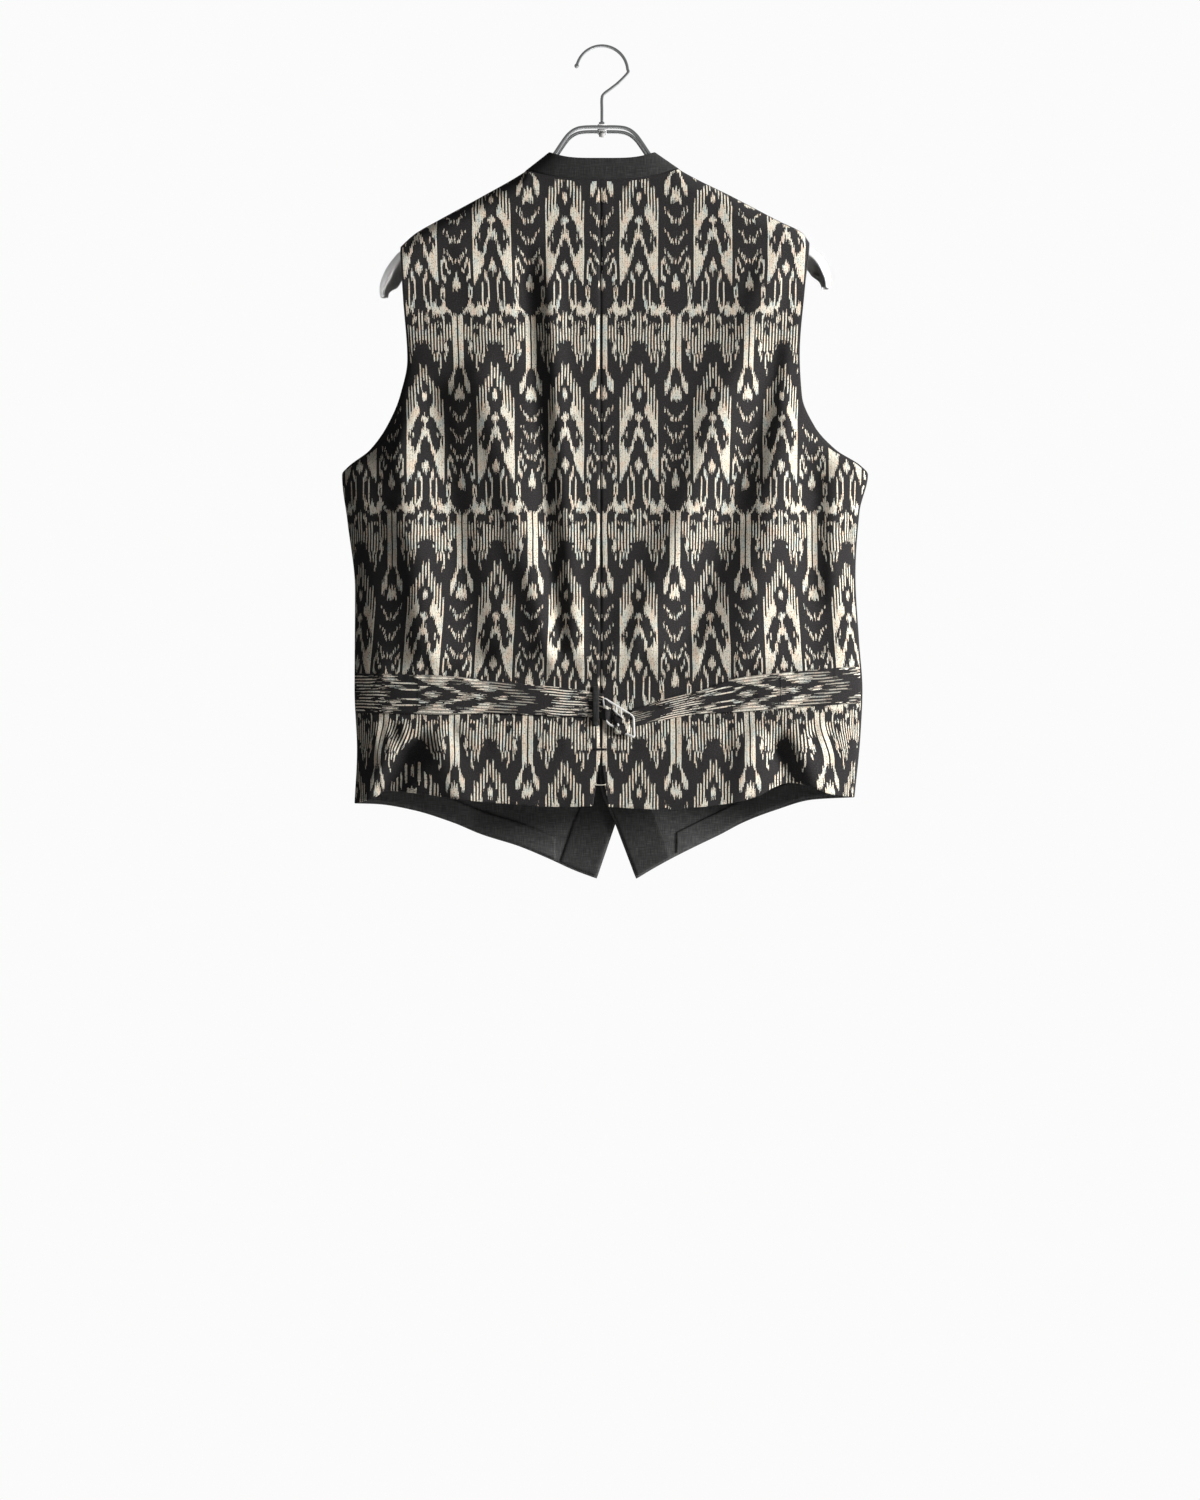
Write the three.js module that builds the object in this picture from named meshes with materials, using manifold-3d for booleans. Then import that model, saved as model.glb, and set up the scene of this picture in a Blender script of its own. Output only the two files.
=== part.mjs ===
// A man's waistcoat hanging on a metal hanger: patterned two-piece back with a buckled
// waist belt and a centre vent, plain dark fronts with a V neck, pointed hems and five buttons.
// Millimetres. +Z is up and the fronts face -Y, so +X is the wearer's left.
// The origin is the inside top of the hanger's hook, where a rail carries it.
import * as THREE from "three";
import { mergeVertices } from "three/addons/utils/BufferGeometryUtils.js";
import Module from "manifold-3d";

const wasm = await Module();
wasm.setup();

// Driving sizes
const CLOTH = 2; // thickness of a wall of shell cloth
const FACING = 1.1; // thickness of the facing inside the fronts
const SEAM_GAP = 0.3; // pieces stand this far apart at a seam
const ON_PANEL = 0.9; // what lies on a panel stands this far off it
const BACK_SEAM_X = 1.5; // centre-back seam
const VENT_TOP = -702; // the vent in the back seam is open below this height
const VENT_LENGTH = 64;
const VENT_SPREAD = 16.8; // at the hem
const NECK_HALF = 76.5; // half width of the neck seam, at the shoulder line
const BAND_HALF = 53.5; // half width of the neck band's top edge
const NECK_LOW = -136.4; // height of the back neck seam at its middle
const BAND_TOP = { middle: -115.2, ends: -106.2, depth: 25.5 }; // the neck band's upper edge
const NECK_DEPTH = 27.5; // how far the back neck stands behind the shoulder line
const SHOULDER_ROLL = 22; // height over which the cloth rolls over the hanger's arm
const LAP = 15; // how far each front passes the centre-front line
const LAP_LIFT = 5; // the left front stands this far over the right one
const LAP_WIDTH = 70; // and comes down to the body over this width
const FACING_WIDTH = 42;
const FACING_ROWS = [-826, -806, -786, -766, -746, -722, -690, -640, -590, -540, -490, -440, -400]
  .concat([-360, -340, -320]);
const FACING_SLANT = 14; // its outer corner stands this much above its foot
const HEM_FACING_WIDTH = 23;
const HEM_FOLD = 2.5; // the hem facing starts this far above the front's hem
const HEM_FACING_ENDS = { afterFacing: 9, beforeSeam: 9 };
const BUTTON_HEIGHTS = [-362, -452, -542, -632, -722];
const BUTTON = { radius: 8.5, foot: 6, dish: 5.6, thick: 3, edge: 1, rim: 1.4, sink: 0.8, off: 0.5 };

// Half width of the body at each height: the side seam, then the armhole's edge.
const SIDE_EDGE = {
  left: [
    { z: -755.5, half: 247.5 },
    { z: -702.5, half: 245 },
    { z: -642.5, half: 247.5 },
    { z: -542.5, half: 247 },
    { z: -474.5, half: 254.5 },
    { z: -427, half: 260 },
    { z: -419.5, half: 254 },
    { z: -403, half: 232 },
    { z: -380, half: 214.5 },
    { z: -350, half: 201 },
    { z: -314, half: 193.5 },
    { z: -255, half: 197.5 },
    { z: -199.5, half: 201 },
  ],
  right: [
    { z: -749.5, half: 252.5 },
    { z: -687.5, half: 258.5 },
    { z: -642.5, half: 260.5 },
    { z: -592.5, half: 257 },
    { z: -527.5, half: 253.5 },
    { z: -464.5, half: 257.5 },
    { z: -427, half: 266 },
    { z: -418.5, half: 259 },
    { z: -403, half: 234 },
    { z: -380, half: 212 },
    { z: -350, half: 199 },
    { z: -309, half: 196.5 },
    { z: -249, half: 201 },
    { z: -195.5, half: 207 },
  ],
};

// The shoulder line, from the neck point to the armhole.
const SHOULDER = {
  left: [
    { x: 53.5, z: -106.5 },
    { x: 76.5, z: -124.5 },
    { x: 121.5, z: -150.5 },
    { x: 165.5, z: -174.5 },
    { x: 187, z: -187 },
    { x: 201, z: -199.5 },
  ],
  right: [
    { x: 53.5, z: -105.5 },
    { x: 78.5, z: -123.5 },
    { x: 131.5, z: -150.5 },
    { x: 177.5, z: -174.5 },
    { x: 199.5, z: -185.5 },
    { x: 207, z: -195.5 },
  ],
};

// Hem heights, from the centre to the side seam.
const BACK_HEM = {
  left: [
    { x: 8, z: -757.3 },
    { x: 39, z: -758.3 },
    { x: 99, z: -754.8 },
    { x: 140, z: -751 },
    { x: 179, z: -745.4 },
    { x: 213, z: -742.5 },
    { x: 227, z: -750 },
    { x: 247.5, z: -755.5 },
  ],
  right: [
    { x: 8, z: -758.3 },
    { x: 58, z: -760.7 },
    { x: 97, z: -758.3 },
    { x: 134, z: -753.3 },
    { x: 156, z: -747 },
    { x: 171, z: -739 },
    { x: 186, z: -734.6 },
    { x: 202, z: -737 },
    { x: 227, z: -746 },
    { x: 252.5, z: -749.5 },
  ],
};
const FRONT_HEM = {
  left: [
    { x: 5.6, z: -832.4 },
    { x: 28, z: -824 },
    { x: 55, z: -811.6 },
    { x: 84, z: -799.5 },
    { x: 122, z: -787.4 },
    { x: 151, z: -775.3 },
    { x: 189, z: -763 },
    { x: 226, z: -756.5 },
    { x: 247.5, z: -755.5 },
  ],
  right: [
    { x: 34.9, z: -832.4 },
    { x: 49, z: -823.8 },
    { x: 71, z: -811.6 },
    { x: 95, z: -799.5 },
    { x: 120, z: -787.4 },
    { x: 143, z: -775.3 },
    { x: 174, z: -763 },
    { x: 213, z: -752 },
    { x: 252.5, z: -749.5 },
  ],
};

// A front's edge, as its distance outward from the centre-front line: hem point, lap, V neck.
const FRONT_EDGE = [
  { z: -832.4, out: 20.2 },
  { z: -776.3, out: 0 },
  { z: -738, out: -LAP + 1 },
  { z: -715, out: -LAP },
  { z: -345, out: -LAP },
  { z: -325, out: -LAP + 4 },
  { z: -240, out: 21 },
  { z: -160, out: 47 },
  { z: -106, out: 53.5 },
];
const CENTRE_FRONT = [
  { z: -832.4, x: -14.6 },
  { z: -106, x: -1 },
];

// Depth of the hanging body at each height: at its middle, back and front, and at its edge.
const BODY_DEPTH = [
  { z: -833, back: 43, front: 44, edge: 0 },
  { z: -760, back: 42, front: 42, edge: 0 },
  { z: -700, back: 39, front: 39, edge: 0 },
  { z: -650, back: 33, front: 37, edge: 0 },
  { z: -600, back: 39, front: 38, edge: 0 },
  { z: -500, back: 39, front: 38, edge: 0 },
  { z: -424, back: 37, front: 36, edge: 0 },
  { z: -380, back: 35, front: 34, edge: 11 },
  { z: -320, back: 32, front: 31, edge: 20 },
  { z: -250, back: 29, front: 28, edge: 24 },
  { z: -100, back: 28, front: 27, edge: 25 },
];
const CROWN_POWER = 3.6; // how square the body is seen from above
const CALM_FROM = 0.86; // share of the half width where folds begin to die out
const CALM_OVER = 0.12;
const COLUMN_POWER = 1.3; // how much closer the columns of points stand at the side

// Folds of the back, each a soft ridge (+) or trough (-) along a line: they fan out from the buckle.
const BACK_FOLDS = [
  { x1: -160, z1: -238, x2: -40, z2: -590, height: 7, wide1: 24, wide2: 16 },
  { x1: -176, z1: -312, x2: -84, z2: -600, height: -6, wide1: 18, wide2: 17 },
  { x1: -194, z1: -310, x2: -143, z2: -604, height: 8, wide1: 14, wide2: 24 },
  { x1: -214, z1: -425, x2: -212, z2: -600, height: -6, wide1: 15, wide2: 19 },
  { x1: 205, z1: -375, x2: 174, z2: -604, height: 7, wide1: 15, wide2: 18 },
  { x1: 166, z1: -350, x2: 127, z2: -605, height: -7, wide1: 17, wide2: 20 },
  { x1: 120, z1: -330, x2: 55, z2: -600, height: 7, wide1: 18, wide2: 15 },
  { x1: 75, z1: -215, x2: 42, z2: -600, height: -5, wide1: 13, wide2: 10 },
  { x1: 52, z1: -235, x2: 27, z2: -600, height: 4.5, wide1: 11, wide2: 10 },
  { x1: 172, z1: -676, x2: 213, z2: -745, height: -9, wide1: 9, wide2: 19 },
  { x1: 163, z1: -680, x2: 142, z2: -755, height: 5, wide1: 12, wide2: 20 },
  { x1: 190, z1: -672, x2: 236, z2: -752, height: 4, wide1: 8, wide2: 12 },
  { x1: -168, z1: -676, x2: -186, z2: -735, height: -10, wide1: 9, wide2: 17 },
  { x1: -148, z1: -672, x2: -138, z2: -752, height: 5, wide1: 12, wide2: 16 },
  { x1: -186, z1: -680, x2: -214, z2: -740, height: 6, wide1: 10, wide2: 16 },
];
const FOLD_FADE = 1.6; // widths over which a fold fades past its ends
const FRONT_FOLDS = [
  { x1: 150, z1: -250, x2: 120, z2: -640, height: 5, wide1: 20, wide2: 24 },
  { x1: 188, z1: -400, x2: 172, z2: -800, height: -5, wide1: 16, wide2: 22 },
  { x1: -144, z1: -240, x2: -128, z2: -600, height: 5, wide1: 22, wide2: 20 },
  { x1: -192, z1: -420, x2: -165, z2: -810, height: -5, wide1: 18, wide2: 20 },
];

// The waist belt: each strap's upper and lower edge, from the side seam to the buckle.
const STRAP = {
  left: [
    { x: 245, top: -626.5, bottom: -665 },
    { x: 160, top: -629.3, bottom: -667 },
    { x: 120, top: -633.3, bottom: -666 },
    { x: 60, top: -639.2, bottom: -668 },
    { x: 29, top: -642.2, bottom: -669.5 },
    { x: -1, top: -647, bottom: -669.5 },
  ],
  right: [
    { x: 258, top: -619, bottom: -655.5 },
    { x: 182, top: -626.3, bottom: -660.7 },
    { x: 143, top: -630.3, bottom: -664 },
    { x: 120, top: -635.7, bottom: -665.4 },
    { x: 97, top: -644, bottom: -666.4 },
    { x: 67, top: -651, bottom: -671.3 },
    { x: 36, top: -661, bottom: -678 },
  ],
};
const STRAP_END = { left: -1, right: 28.4 }; // distance from x = 0, outward, where each strap stops
const BELT_HEIGHT = -654; // the belt draws the back in around this height
const BELT_FLAT = 20; // evenly over this much above and below
const BELT_REACH = 22; // and less and less over this much more
const BELT_PULL = 5; // how much deeper the middle of the back is drawn in there
const BELT_PUFF = { rise: 6, above: 50, tall: 17, middle: 70, fade: 80 }; // the cloth puffs out above it
const BELT_FREE = 100; // half width of the stretch that it draws in

// The cloth loop that keeps the strap at the back seam, as its distance off the back.
const BELT_LOOP = { x: 6.2, half: 3.4, thick: 1.3 };
const LOOP_PROFILE = [
  { z: -640, off: 0.8 },
  { z: -643.5, off: 1.5 },
  { z: -646, off: 3.9 },
  { z: -651, off: 4.7 },
  { z: -664, off: 4.7 },
  { z: -669.5, off: 4.3 },
  { z: -672, off: 3.1 },
  { z: -674.5, off: 1.2 },
  { z: -678, off: 0.8 },
];

// The buckle's corners, as seen from behind, and their distance off the back: it hangs tilted.
const BUCKLE = {
  left: { x: -1, z: -650.5, off: 4.5 },
  right: { x: -31, z: -669, off: 4.6 },
  rightLow: { x: -32, z: -690.5, off: 4.6 },
  leftLow: { x: -5, z: -676, off: 4.5 },
};
const BUCKLE_WIRE = 1.15;
const MIDDLE_BAR = 0.42; // its place between the left bar and the right one
const STRAP_FOLD = { thick: 1.1, top: 0.16, bottom: 0.84, under: 0.89, over: 0.82, rise: 0.9 };

// Hanger
const WIRE = 1.6; // radius of the hook's wire
const HOOK_RADIUS = 25.8; // to the middle of the wire
const HOOK_TURN = { from: -3, to: 167 }; // degrees round the hook, from the side of its stem
const HOOK_BALL = 2.5;
const HOOK_STEM = [
  { x: 0, z: -74.3 },
  { x: 0, z: -62 },
  { x: 0, z: -51 },
  { x: -2.2, z: -46.4 },
  { x: -9.5, z: -40.8 },
  { x: -17, z: -34.8 },
];
const COLLAR = { radius: 3.2, low: -78.2, high: -74.6 };
const NUT = { radius: 3, low: -89.6, high: -85.8 };
const BRIDGE = { wide: 9, tall: 7, z: -82 };
const BAR = 1.9; // radius of the two neck bars
const BAR_SPREAD = 13; // each bar's distance from the middle plane
const NECK_BAR = [
  { x: 0, z: -82 },
  { x: 18, z: -82.3 },
  { x: 27, z: -84.6 },
  { x: 34, z: -90 },
  { x: 40, z: -98 },
  { x: 46, z: -107 },
  { x: 51.5, z: -114.5 },
  { x: 55.5, z: -119.5 },
];
const ARM_PLATE = 2;
const ARM_START = 62;
const ARM_STRAIGHT_TO = 190; // the arm follows the shoulder line up to here
const UNDER_CLOTH = CLOTH + 0.9; // the arm's crown below the outside of the shoulder
const NEAR_NECK = { drop: 2, over: 50 }; // and a little lower at the neck
const ARM_WIDE = { neck: 16.5, shoulder: 21.5 }; // half width
const ARM_DEEP = { neck: 9, shoulder: 15 };
const ARM_END = { from: 0.86, keep: 0.18 }; // the arm rounds off over the last of its length
const ARM_TIP = {
  left: [
    { x: 201, z: -203.5 },
    { x: 208, z: -210.5 },
    { x: 216.5, z: -222.5 },
    { x: 221.5, z: -235 },
    { x: 222.5, z: -243 },
    { x: 221.5, z: -250 },
  ],
  right: [
    { x: 207, z: -199.5 },
    { x: 213.5, z: -203.5 },
    { x: 221, z: -210.5 },
    { x: 226.5, z: -220 },
    { x: 228.5, z: -230 },
    { x: 227.5, z: -241 },
  ],
};

// How finely the pieces are divided
const BACK_COLUMNS = 18;
const FRONT_COLUMNS = 13;
const BACK_ROWS = [0, 0.04, 0.08, 0.115, 0.14, 0.165, 0.19, 0.215, 0.24, 0.265, 0.3, 0.345, 0.39, 0.435]
  .concat([0.48, 0.53, 0.575, 0.6, 0.619, 0.637, 0.66, 0.7, 0.75, 0.8, 0.85, 0.9, 0.95, 1]);
const FRONT_ROWS = [0, 0.06, 0.12, 0.18, 0.24, 0.3, 0.36, 0.42, 0.48, 0.54, 0.59, 0.619, 0.645, 0.69, 0.76]
  .concat([0.84, 0.92, 1]);
const TOP_STEPS = [14, 7, 2.6, 0]; // millimetres below the top edge
const ACROSS_STRAP = [0, 0.33, 0.67, 1];
const ACROSS_ARM = [-80, -54, -27, 0, 27, 54, 80]; // degrees round the arm's crown
const ARM_STATIONS = 15;

const SIDES = [
  { name: "left", sign: 1 },
  { name: "right", sign: -1 },
];

// Plain functions

const clamp = (value, low, high) => Math.min(high, Math.max(low, value));
const mix = (a, b, share) => a + (b - a) * share;
const smooth = (share) => {
  const s = clamp(share, 0, 1);
  return s * s * (3 - 2 * s);
};

// A smooth curve through a table's rows that never overshoots them: column `to` over column `from`.
function curveOf(table, from, to) {
  const rows = [...table].sort((a, b) => a[from] - b[from]);
  const last = rows.length - 1;
  const rise = rows.slice(1).map((r, i) => (r[to] - rows[i][to]) / (r[from] - rows[i][from]));
  const slope = rows.map((_, i) => {
    if (i === 0) return rise[0];
    if (i === last) return rise[last - 1];
    const [before, after] = [rise[i - 1], rise[i]];
    return before * after <= 0 ? 0 : (2 * before * after) / (before + after);
  });
  return (value) => {
    const v = clamp(value, rows[0][from], rows[last][from]);
    let i = 0;
    while (i < last - 1 && v > rows[i + 1][from]) i += 1;
    const span = rows[i + 1][from] - rows[i][from];
    const t = (v - rows[i][from]) / span;
    const stay = t * t * (2 * t - 3) + 1;
    const leave = t * (t - 1) * (t - 1) * span * slope[i];
    const arrive = t * t * (t - 1) * span * slope[i + 1];
    return stay * rows[i][to] + (1 - stay) * rows[i + 1][to] + leave + arrive;
  };
}

const perSide = (tables, from, to) => ({
  left: curveOf(tables.left, from, to),
  right: curveOf(tables.right, from, to),
});

const halfWidth = perSide(SIDE_EDGE, "z", "half");
const shoulderHeight = perSide(SHOULDER, "x", "z");
const backHem = perSide(BACK_HEM, "x", "z");
const frontHem = perSide(FRONT_HEM, "x", "z");
const frontOut = curveOf(FRONT_EDGE, "z", "out");
const centreFront = curveOf(CENTRE_FRONT, "z", "x");
const backBulk = curveOf(BODY_DEPTH, "z", "back");
const frontBulk = curveOf(BODY_DEPTH, "z", "front");
const edgeBulk = curveOf(BODY_DEPTH, "z", "edge");
const strapTop = perSide(STRAP, "x", "top");
const strapBottom = perSide(STRAP, "x", "bottom");

// The shape of the body

const crown = (share) => Math.sqrt(1 - Math.pow(clamp(share, 0, 1), CROWN_POWER));

// Height of one fold at a point: full along its line and gone past its ends.
function foldAt(fold, x, z) {
  const [dx, dz] = [fold.x2 - fold.x1, fold.z2 - fold.z1];
  const long = Math.hypot(dx, dz);
  const along = ((x - fold.x1) * dx + (z - fold.z1) * dz) / (long * long);
  const off = ((x - fold.x1) * dz - (z - fold.z1) * dx) / long;
  const wide = mix(fold.wide1, fold.wide2, clamp(along, 0, 1));
  const past = Math.max(0, -along, along - 1) * long;
  const ends = 1 - smooth(past / (FOLD_FADE * wide));
  return fold.height * Math.exp(-((off / wide) ** 2)) * ends;
}

// Folds die out towards the side seam and the armhole.
const calmNearSide = (share) => 1 - smooth((share - CALM_FROM) / CALM_OVER);

const foldsAt = (folds, x, z) => folds.reduce((sum, fold) => sum + foldAt(fold, x, z), 0);

// How much of the belt's grip is felt at a point: 1 on the belt, over the free part of the straps.
function beltGrip(x, z) {
  const height = 1 - smooth((Math.abs(z - BELT_HEIGHT) - BELT_FLAT) / BELT_REACH);
  return height * (1 - smooth((Math.abs(x) - BELT_FREE) / BELT_FREE));
}

// The blousing above the belt.
function beltPuff(x, z) {
  const { rise, above, tall, middle, fade } = BELT_PUFF;
  const level = Math.exp(-(((z - BELT_HEIGHT - above) / tall) ** 2));
  return rise * level * (1 - smooth((Math.abs(x) - middle) / fade));
}

// Outside of the back, as its distance behind the middle plane.
function backDepth(side, x, z) {
  const share = Math.abs(x) / halfWidth[side](z);
  const edge = SEAM_GAP / 2 + edgeBulk(z);
  const free = smooth((Math.abs(z - BELT_HEIGHT) - BELT_FLAT) / (BELT_REACH + 8));
  const folds = foldsAt(BACK_FOLDS, x, z) * calmNearSide(share) * free;
  const belt = beltPuff(x, z) - BELT_PULL * beltGrip(x, z);
  const body = edge + (backBulk(z) - edge) * crown(share) + folds + belt;
  const seam = seamDepth(x);
  const below = clamp((backTop(side, x) - z) / SHOULDER_ROLL, 0, 1);
  return seam + (body - seam) * Math.sqrt(1 - (1 - below) ** 2);
}

// The back's top edge stands this far behind the middle plane: the neck, then the shoulder seam.
function seamDepth(x) {
  const share = Math.abs(x) / NECK_HALF;
  return SEAM_GAP / 2 + NECK_DEPTH * Math.cbrt(Math.max(0, 1 - share ** 4));
}

// Height of the back's top edge: the neck seam between the shoulder lines.
function backTop(side, x) {
  const out = Math.abs(x);
  if (out > NECK_HALF) return shoulderHeight[side](out);
  return mix(NECK_LOW, shoulderHeight[side](NECK_HALF), (out / NECK_HALF) ** 3);
}

// Outside of a front, as its distance before the middle plane.
function frontDepth(side, x, z) {
  const share = Math.abs(x) / halfWidth[side](z);
  const edge = SEAM_GAP / 2 + edgeBulk(z);
  const lap = side === "left" ? LAP_LIFT * (1 - smooth((x - centreFront(z) - LAP) / LAP_WIDTH)) : 0;
  const folds = foldsAt(FRONT_FOLDS, x, z) * calmNearSide(share);
  const body = edge + (frontBulk(z) - edge) * crown(share) + folds + lap;
  const below = clamp((shoulderHeight[side](Math.abs(x)) - z) / SHOULDER_ROLL, 0, 1);
  return SEAM_GAP / 2 + (body - SEAM_GAP / 2) * Math.sqrt(1 - (1 - below) ** 2);
}

// Edges nearest the centre
const ventGap = (z) => SEAM_GAP / 2 + (VENT_SPREAD / 2) * smooth((VENT_TOP - z) / VENT_LENGTH);
const backInner = (side, sign, z) => BACK_SEAM_X + sign * ventGap(z);
const frontInner = (side, sign, z) => centreFront(z) + sign * frontOut(z);

// Grids of points

// Columns get closer towards the side, where the body turns.
const columnShares = (count) =>
  Array.from({ length: count + 1 }, (_, i) => 1 - Math.pow(1 - i / count, COLUMN_POWER));

// The height where a column meets a boundary that is given over x.
function meet(boundary, column, start) {
  let z = start;
  for (let turn = 0; turn < 30; turn += 1) z = (z + boundary(Math.abs(column(z)))) / 2;
  return z;
}

// A panel's outside: rows from hem to top, each a list of points from the centre to the side.
function panelGrid(panel, columns, rowShares, topSteps) {
  const { side, sign, inner, depth, hem, top } = panel;
  const lines = columnShares(columns).map((share) => {
    const column = (z) => mix(inner(side, sign, z), sign * halfWidth[side](z), share);
    const low = meet(hem[side], column, -755);
    const high = meet(top, column, -150);
    const shared = rowShares.map((row) => mix(low, high - SHOULDER_ROLL, row));
    const heights = [...shared, ...topSteps.map((step) => high - step)];
    return heights.map((z) => new THREE.Vector3(column(z), panel.facing * depth(side, column(z), z), z));
  });
  return lines[0].map((_, row) => lines.map((line) => line[row]));
}

// Outward directions at a grid's points. An edge whose piece meets another keeps to the seam's plane.
function gridNormals(grid, outward, edges = {}) {
  const [rows, columns] = [grid.length - 1, grid[0].length - 1];
  return grid.map((line, row) =>
    line.map((_, column) => {
      const across = grid[row][Math.min(column + 1, columns)]
        .clone()
        .sub(grid[row][Math.max(column - 1, 0)]);
      const up = grid[Math.min(row + 1, rows)][column].clone().sub(grid[Math.max(row - 1, 0)][column]);
      const normal = across.cross(up).normalize();
      if (normal.dot(outward(grid[row][column])) < 0) normal.negate();
      if (column === 0 && edges.first) edges.first(normal, grid[row][column]);
      if (column === columns && edges.last) edges.last(normal, grid[row][column]);
      if (row === rows && edges.top) edges.top(normal, grid[row][column]);
      return normal.normalize();
    }),
  );
}

const moved = (grid, normals, distance) =>
  grid.map((line, row) => line.map((p, i) => p.clone().addScaledVector(normals[row][i], distance)));

// Depth of a panel at a place (x, z), read off its own facets.
function depthOn(grid, x, z) {
  let best = { miss: Infinity, depth: 0 };
  const tryFacet = (a, b, c) => {
    const size = (b.x - a.x) * (c.z - a.z) - (c.x - a.x) * (b.z - a.z);
    const v = ((x - a.x) * (c.z - a.z) - (c.x - a.x) * (z - a.z)) / size;
    const w = ((b.x - a.x) * (z - a.z) - (x - a.x) * (b.z - a.z)) / size;
    const miss = Math.max(0, v + w - 1, -v, -w);
    if (miss < best.miss) best = { miss, depth: a.y + v * (b.y - a.y) + w * (c.y - a.y) };
  };
  for (let row = 0; row < grid.length - 1 && best.miss > 0; row += 1) {
    for (let column = 0; column < grid[0].length - 1; column += 1) {
      const [here, above] = [grid[row], grid[row + 1]];
      tryFacet(here[column], here[column + 1], above[column + 1]);
      tryFacet(here[column], above[column + 1], above[column]);
    }
  }
  return best.depth;
}

const panelWall = ({ outer, inner }) => wallBetween(outer, inner);

// A closed wall between two grids of the same size.
function wallBetween(outer, inner) {
  const [rows, columns] = [outer.length, outer[0].length];
  const points = [...outer.flat(), ...inner.flat()];
  const at = (layer, row, column) => layer * rows * columns + row * columns + column;
  const faces = [];
  const quad = (a, b, c, d) => faces.push(a, b, c, a, c, d);
  for (let row = 0; row < rows - 1; row += 1) {
    for (let column = 0; column < columns - 1; column += 1) {
      const [here, beside] = [
        [row, column],
        [row, column + 1],
      ];
      const [above, across] = [
        [row + 1, column],
        [row + 1, column + 1],
      ];
      quad(...[here, beside, across, above].map((corner) => at(0, ...corner)));
      quad(...[here, above, across, beside].map((corner) => at(1, ...corner)));
    }
  }
  const rim = [];
  for (let column = 0; column < columns - 1; column += 1) rim.push([0, column]);
  for (let row = 0; row < rows - 1; row += 1) rim.push([row, columns - 1]);
  for (let column = columns - 1; column > 0; column -= 1) rim.push([rows - 1, column]);
  for (let row = rows - 1; row > 0; row -= 1) rim.push([row, 0]);
  rim.forEach(([r, c], i) => {
    const [r2, c2] = rim[(i + 1) % rim.length];
    quad(at(0, r, c), at(1, r, c), at(1, r2, c2), at(0, r2, c2));
  });
  return facingOut(geometryOf(points, faces));
}

function geometryOf(points, faces) {
  const geometry = new THREE.BufferGeometry();
  const flat = points.flatMap((p) => [p.x, p.y, p.z]);
  geometry.setAttribute("position", new THREE.Float32BufferAttribute(flat, 3));
  geometry.setIndex(faces);
  return geometry;
}

// Turns every face round if the closed geometry is inside out.
function facingOut(geometry) {
  const [place, index] = [geometry.getAttribute("position"), geometry.getIndex()];
  const corner = (i) => new THREE.Vector3().fromBufferAttribute(place, index.getX(i));
  let volume = 0;
  for (let i = 0; i < index.count; i += 3) volume += corner(i).dot(corner(i + 1).cross(corner(i + 2)));
  if (volume < 0) {
    for (let i = 0; i < index.count; i += 3) {
      const second = index.getX(i + 1);
      index.setX(i + 1, index.getX(i + 2));
      index.setX(i + 2, second);
    }
  }
  return geometry;
}

// Booleans
function solidOf(geometry) {
  const bare = new THREE.BufferGeometry();
  bare.setAttribute("position", geometry.getAttribute("position"));
  if (geometry.getIndex()) bare.setIndex(geometry.getIndex());
  const merged = mergeVertices(bare, 1e-4);
  return new wasm.Manifold(
    new wasm.Mesh({
      numProp: 3,
      vertProperties: new Float32Array(merged.getAttribute("position").array),
      triVerts: new Uint32Array(merged.getIndex().array),
    }),
  );
}

function joined(geometries) {
  const whole = geometries.map(solidOf).reduce((sum, solid) => sum.add(solid));
  const mesh = whole.getMesh();
  const geometry = new THREE.BufferGeometry();
  geometry.setAttribute("position", new THREE.BufferAttribute(new Float32Array(mesh.vertProperties), 3));
  geometry.setIndex(new THREE.BufferAttribute(new Uint32Array(mesh.triVerts), 1));
  return geometry;
}

// A round bar along a curve, with closed ends.
function rod(curve, radius, sides, steps) {
  const section = new THREE.Shape();
  for (let i = 0; i < sides; i += 1) {
    const turn = (2 * Math.PI * i) / sides;
    const [x, y] = [radius * Math.cos(turn), radius * Math.sin(turn)];
    if (i === 0) section.moveTo(x, y);
    else section.lineTo(x, y);
  }
  section.closePath();
  return new THREE.ExtrudeGeometry(section, { steps, bevelEnabled: false, extrudePath: curve });
}

const smoothPath = (points) => new THREE.CatmullRomCurve3(points, false, "catmullrom", 0.5);
const radians = (degrees) => (degrees * Math.PI) / 180;
const evenly = (count) => Array.from({ length: count + 1 }, (_, i) => i / count);

// The pieces

const material = (color, roughness, metalness = 0) =>
  new THREE.MeshStandardMaterial({ color, roughness, metalness, flatShading: true });
const FINISH = {
  patterned: material(0x6d6962, 0.9),
  dark: material(0x2b2a2b, 0.9),
  chrome: material(0xc9ccd0, 0.15, 1),
  buckle: material(0x9a9a98, 0.3, 1),
  horn: material(0x1d1b1a, 0.35),
};

const garment = new THREE.Group();
const hanger = new THREE.Group();

function add(group, name, geometry, finish) {
  const mesh = new THREE.Mesh(geometry, finish);
  mesh.name = name;
  group.add(mesh);
}

// A seam edge's direction stays square to the piece that it meets.
const keepX = (normal) => normal.set(0, normal.y, normal.z);
const keepSide = (sign) => (normal, point) => {
  if (Math.abs(point.y) < 2 * CLOTH) normal.set(sign, 0, 0);
};
const keepUp = (normal, point) => {
  if (Math.abs(point.x) > NECK_HALF) normal.set(0, 0, 1);
};

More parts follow.
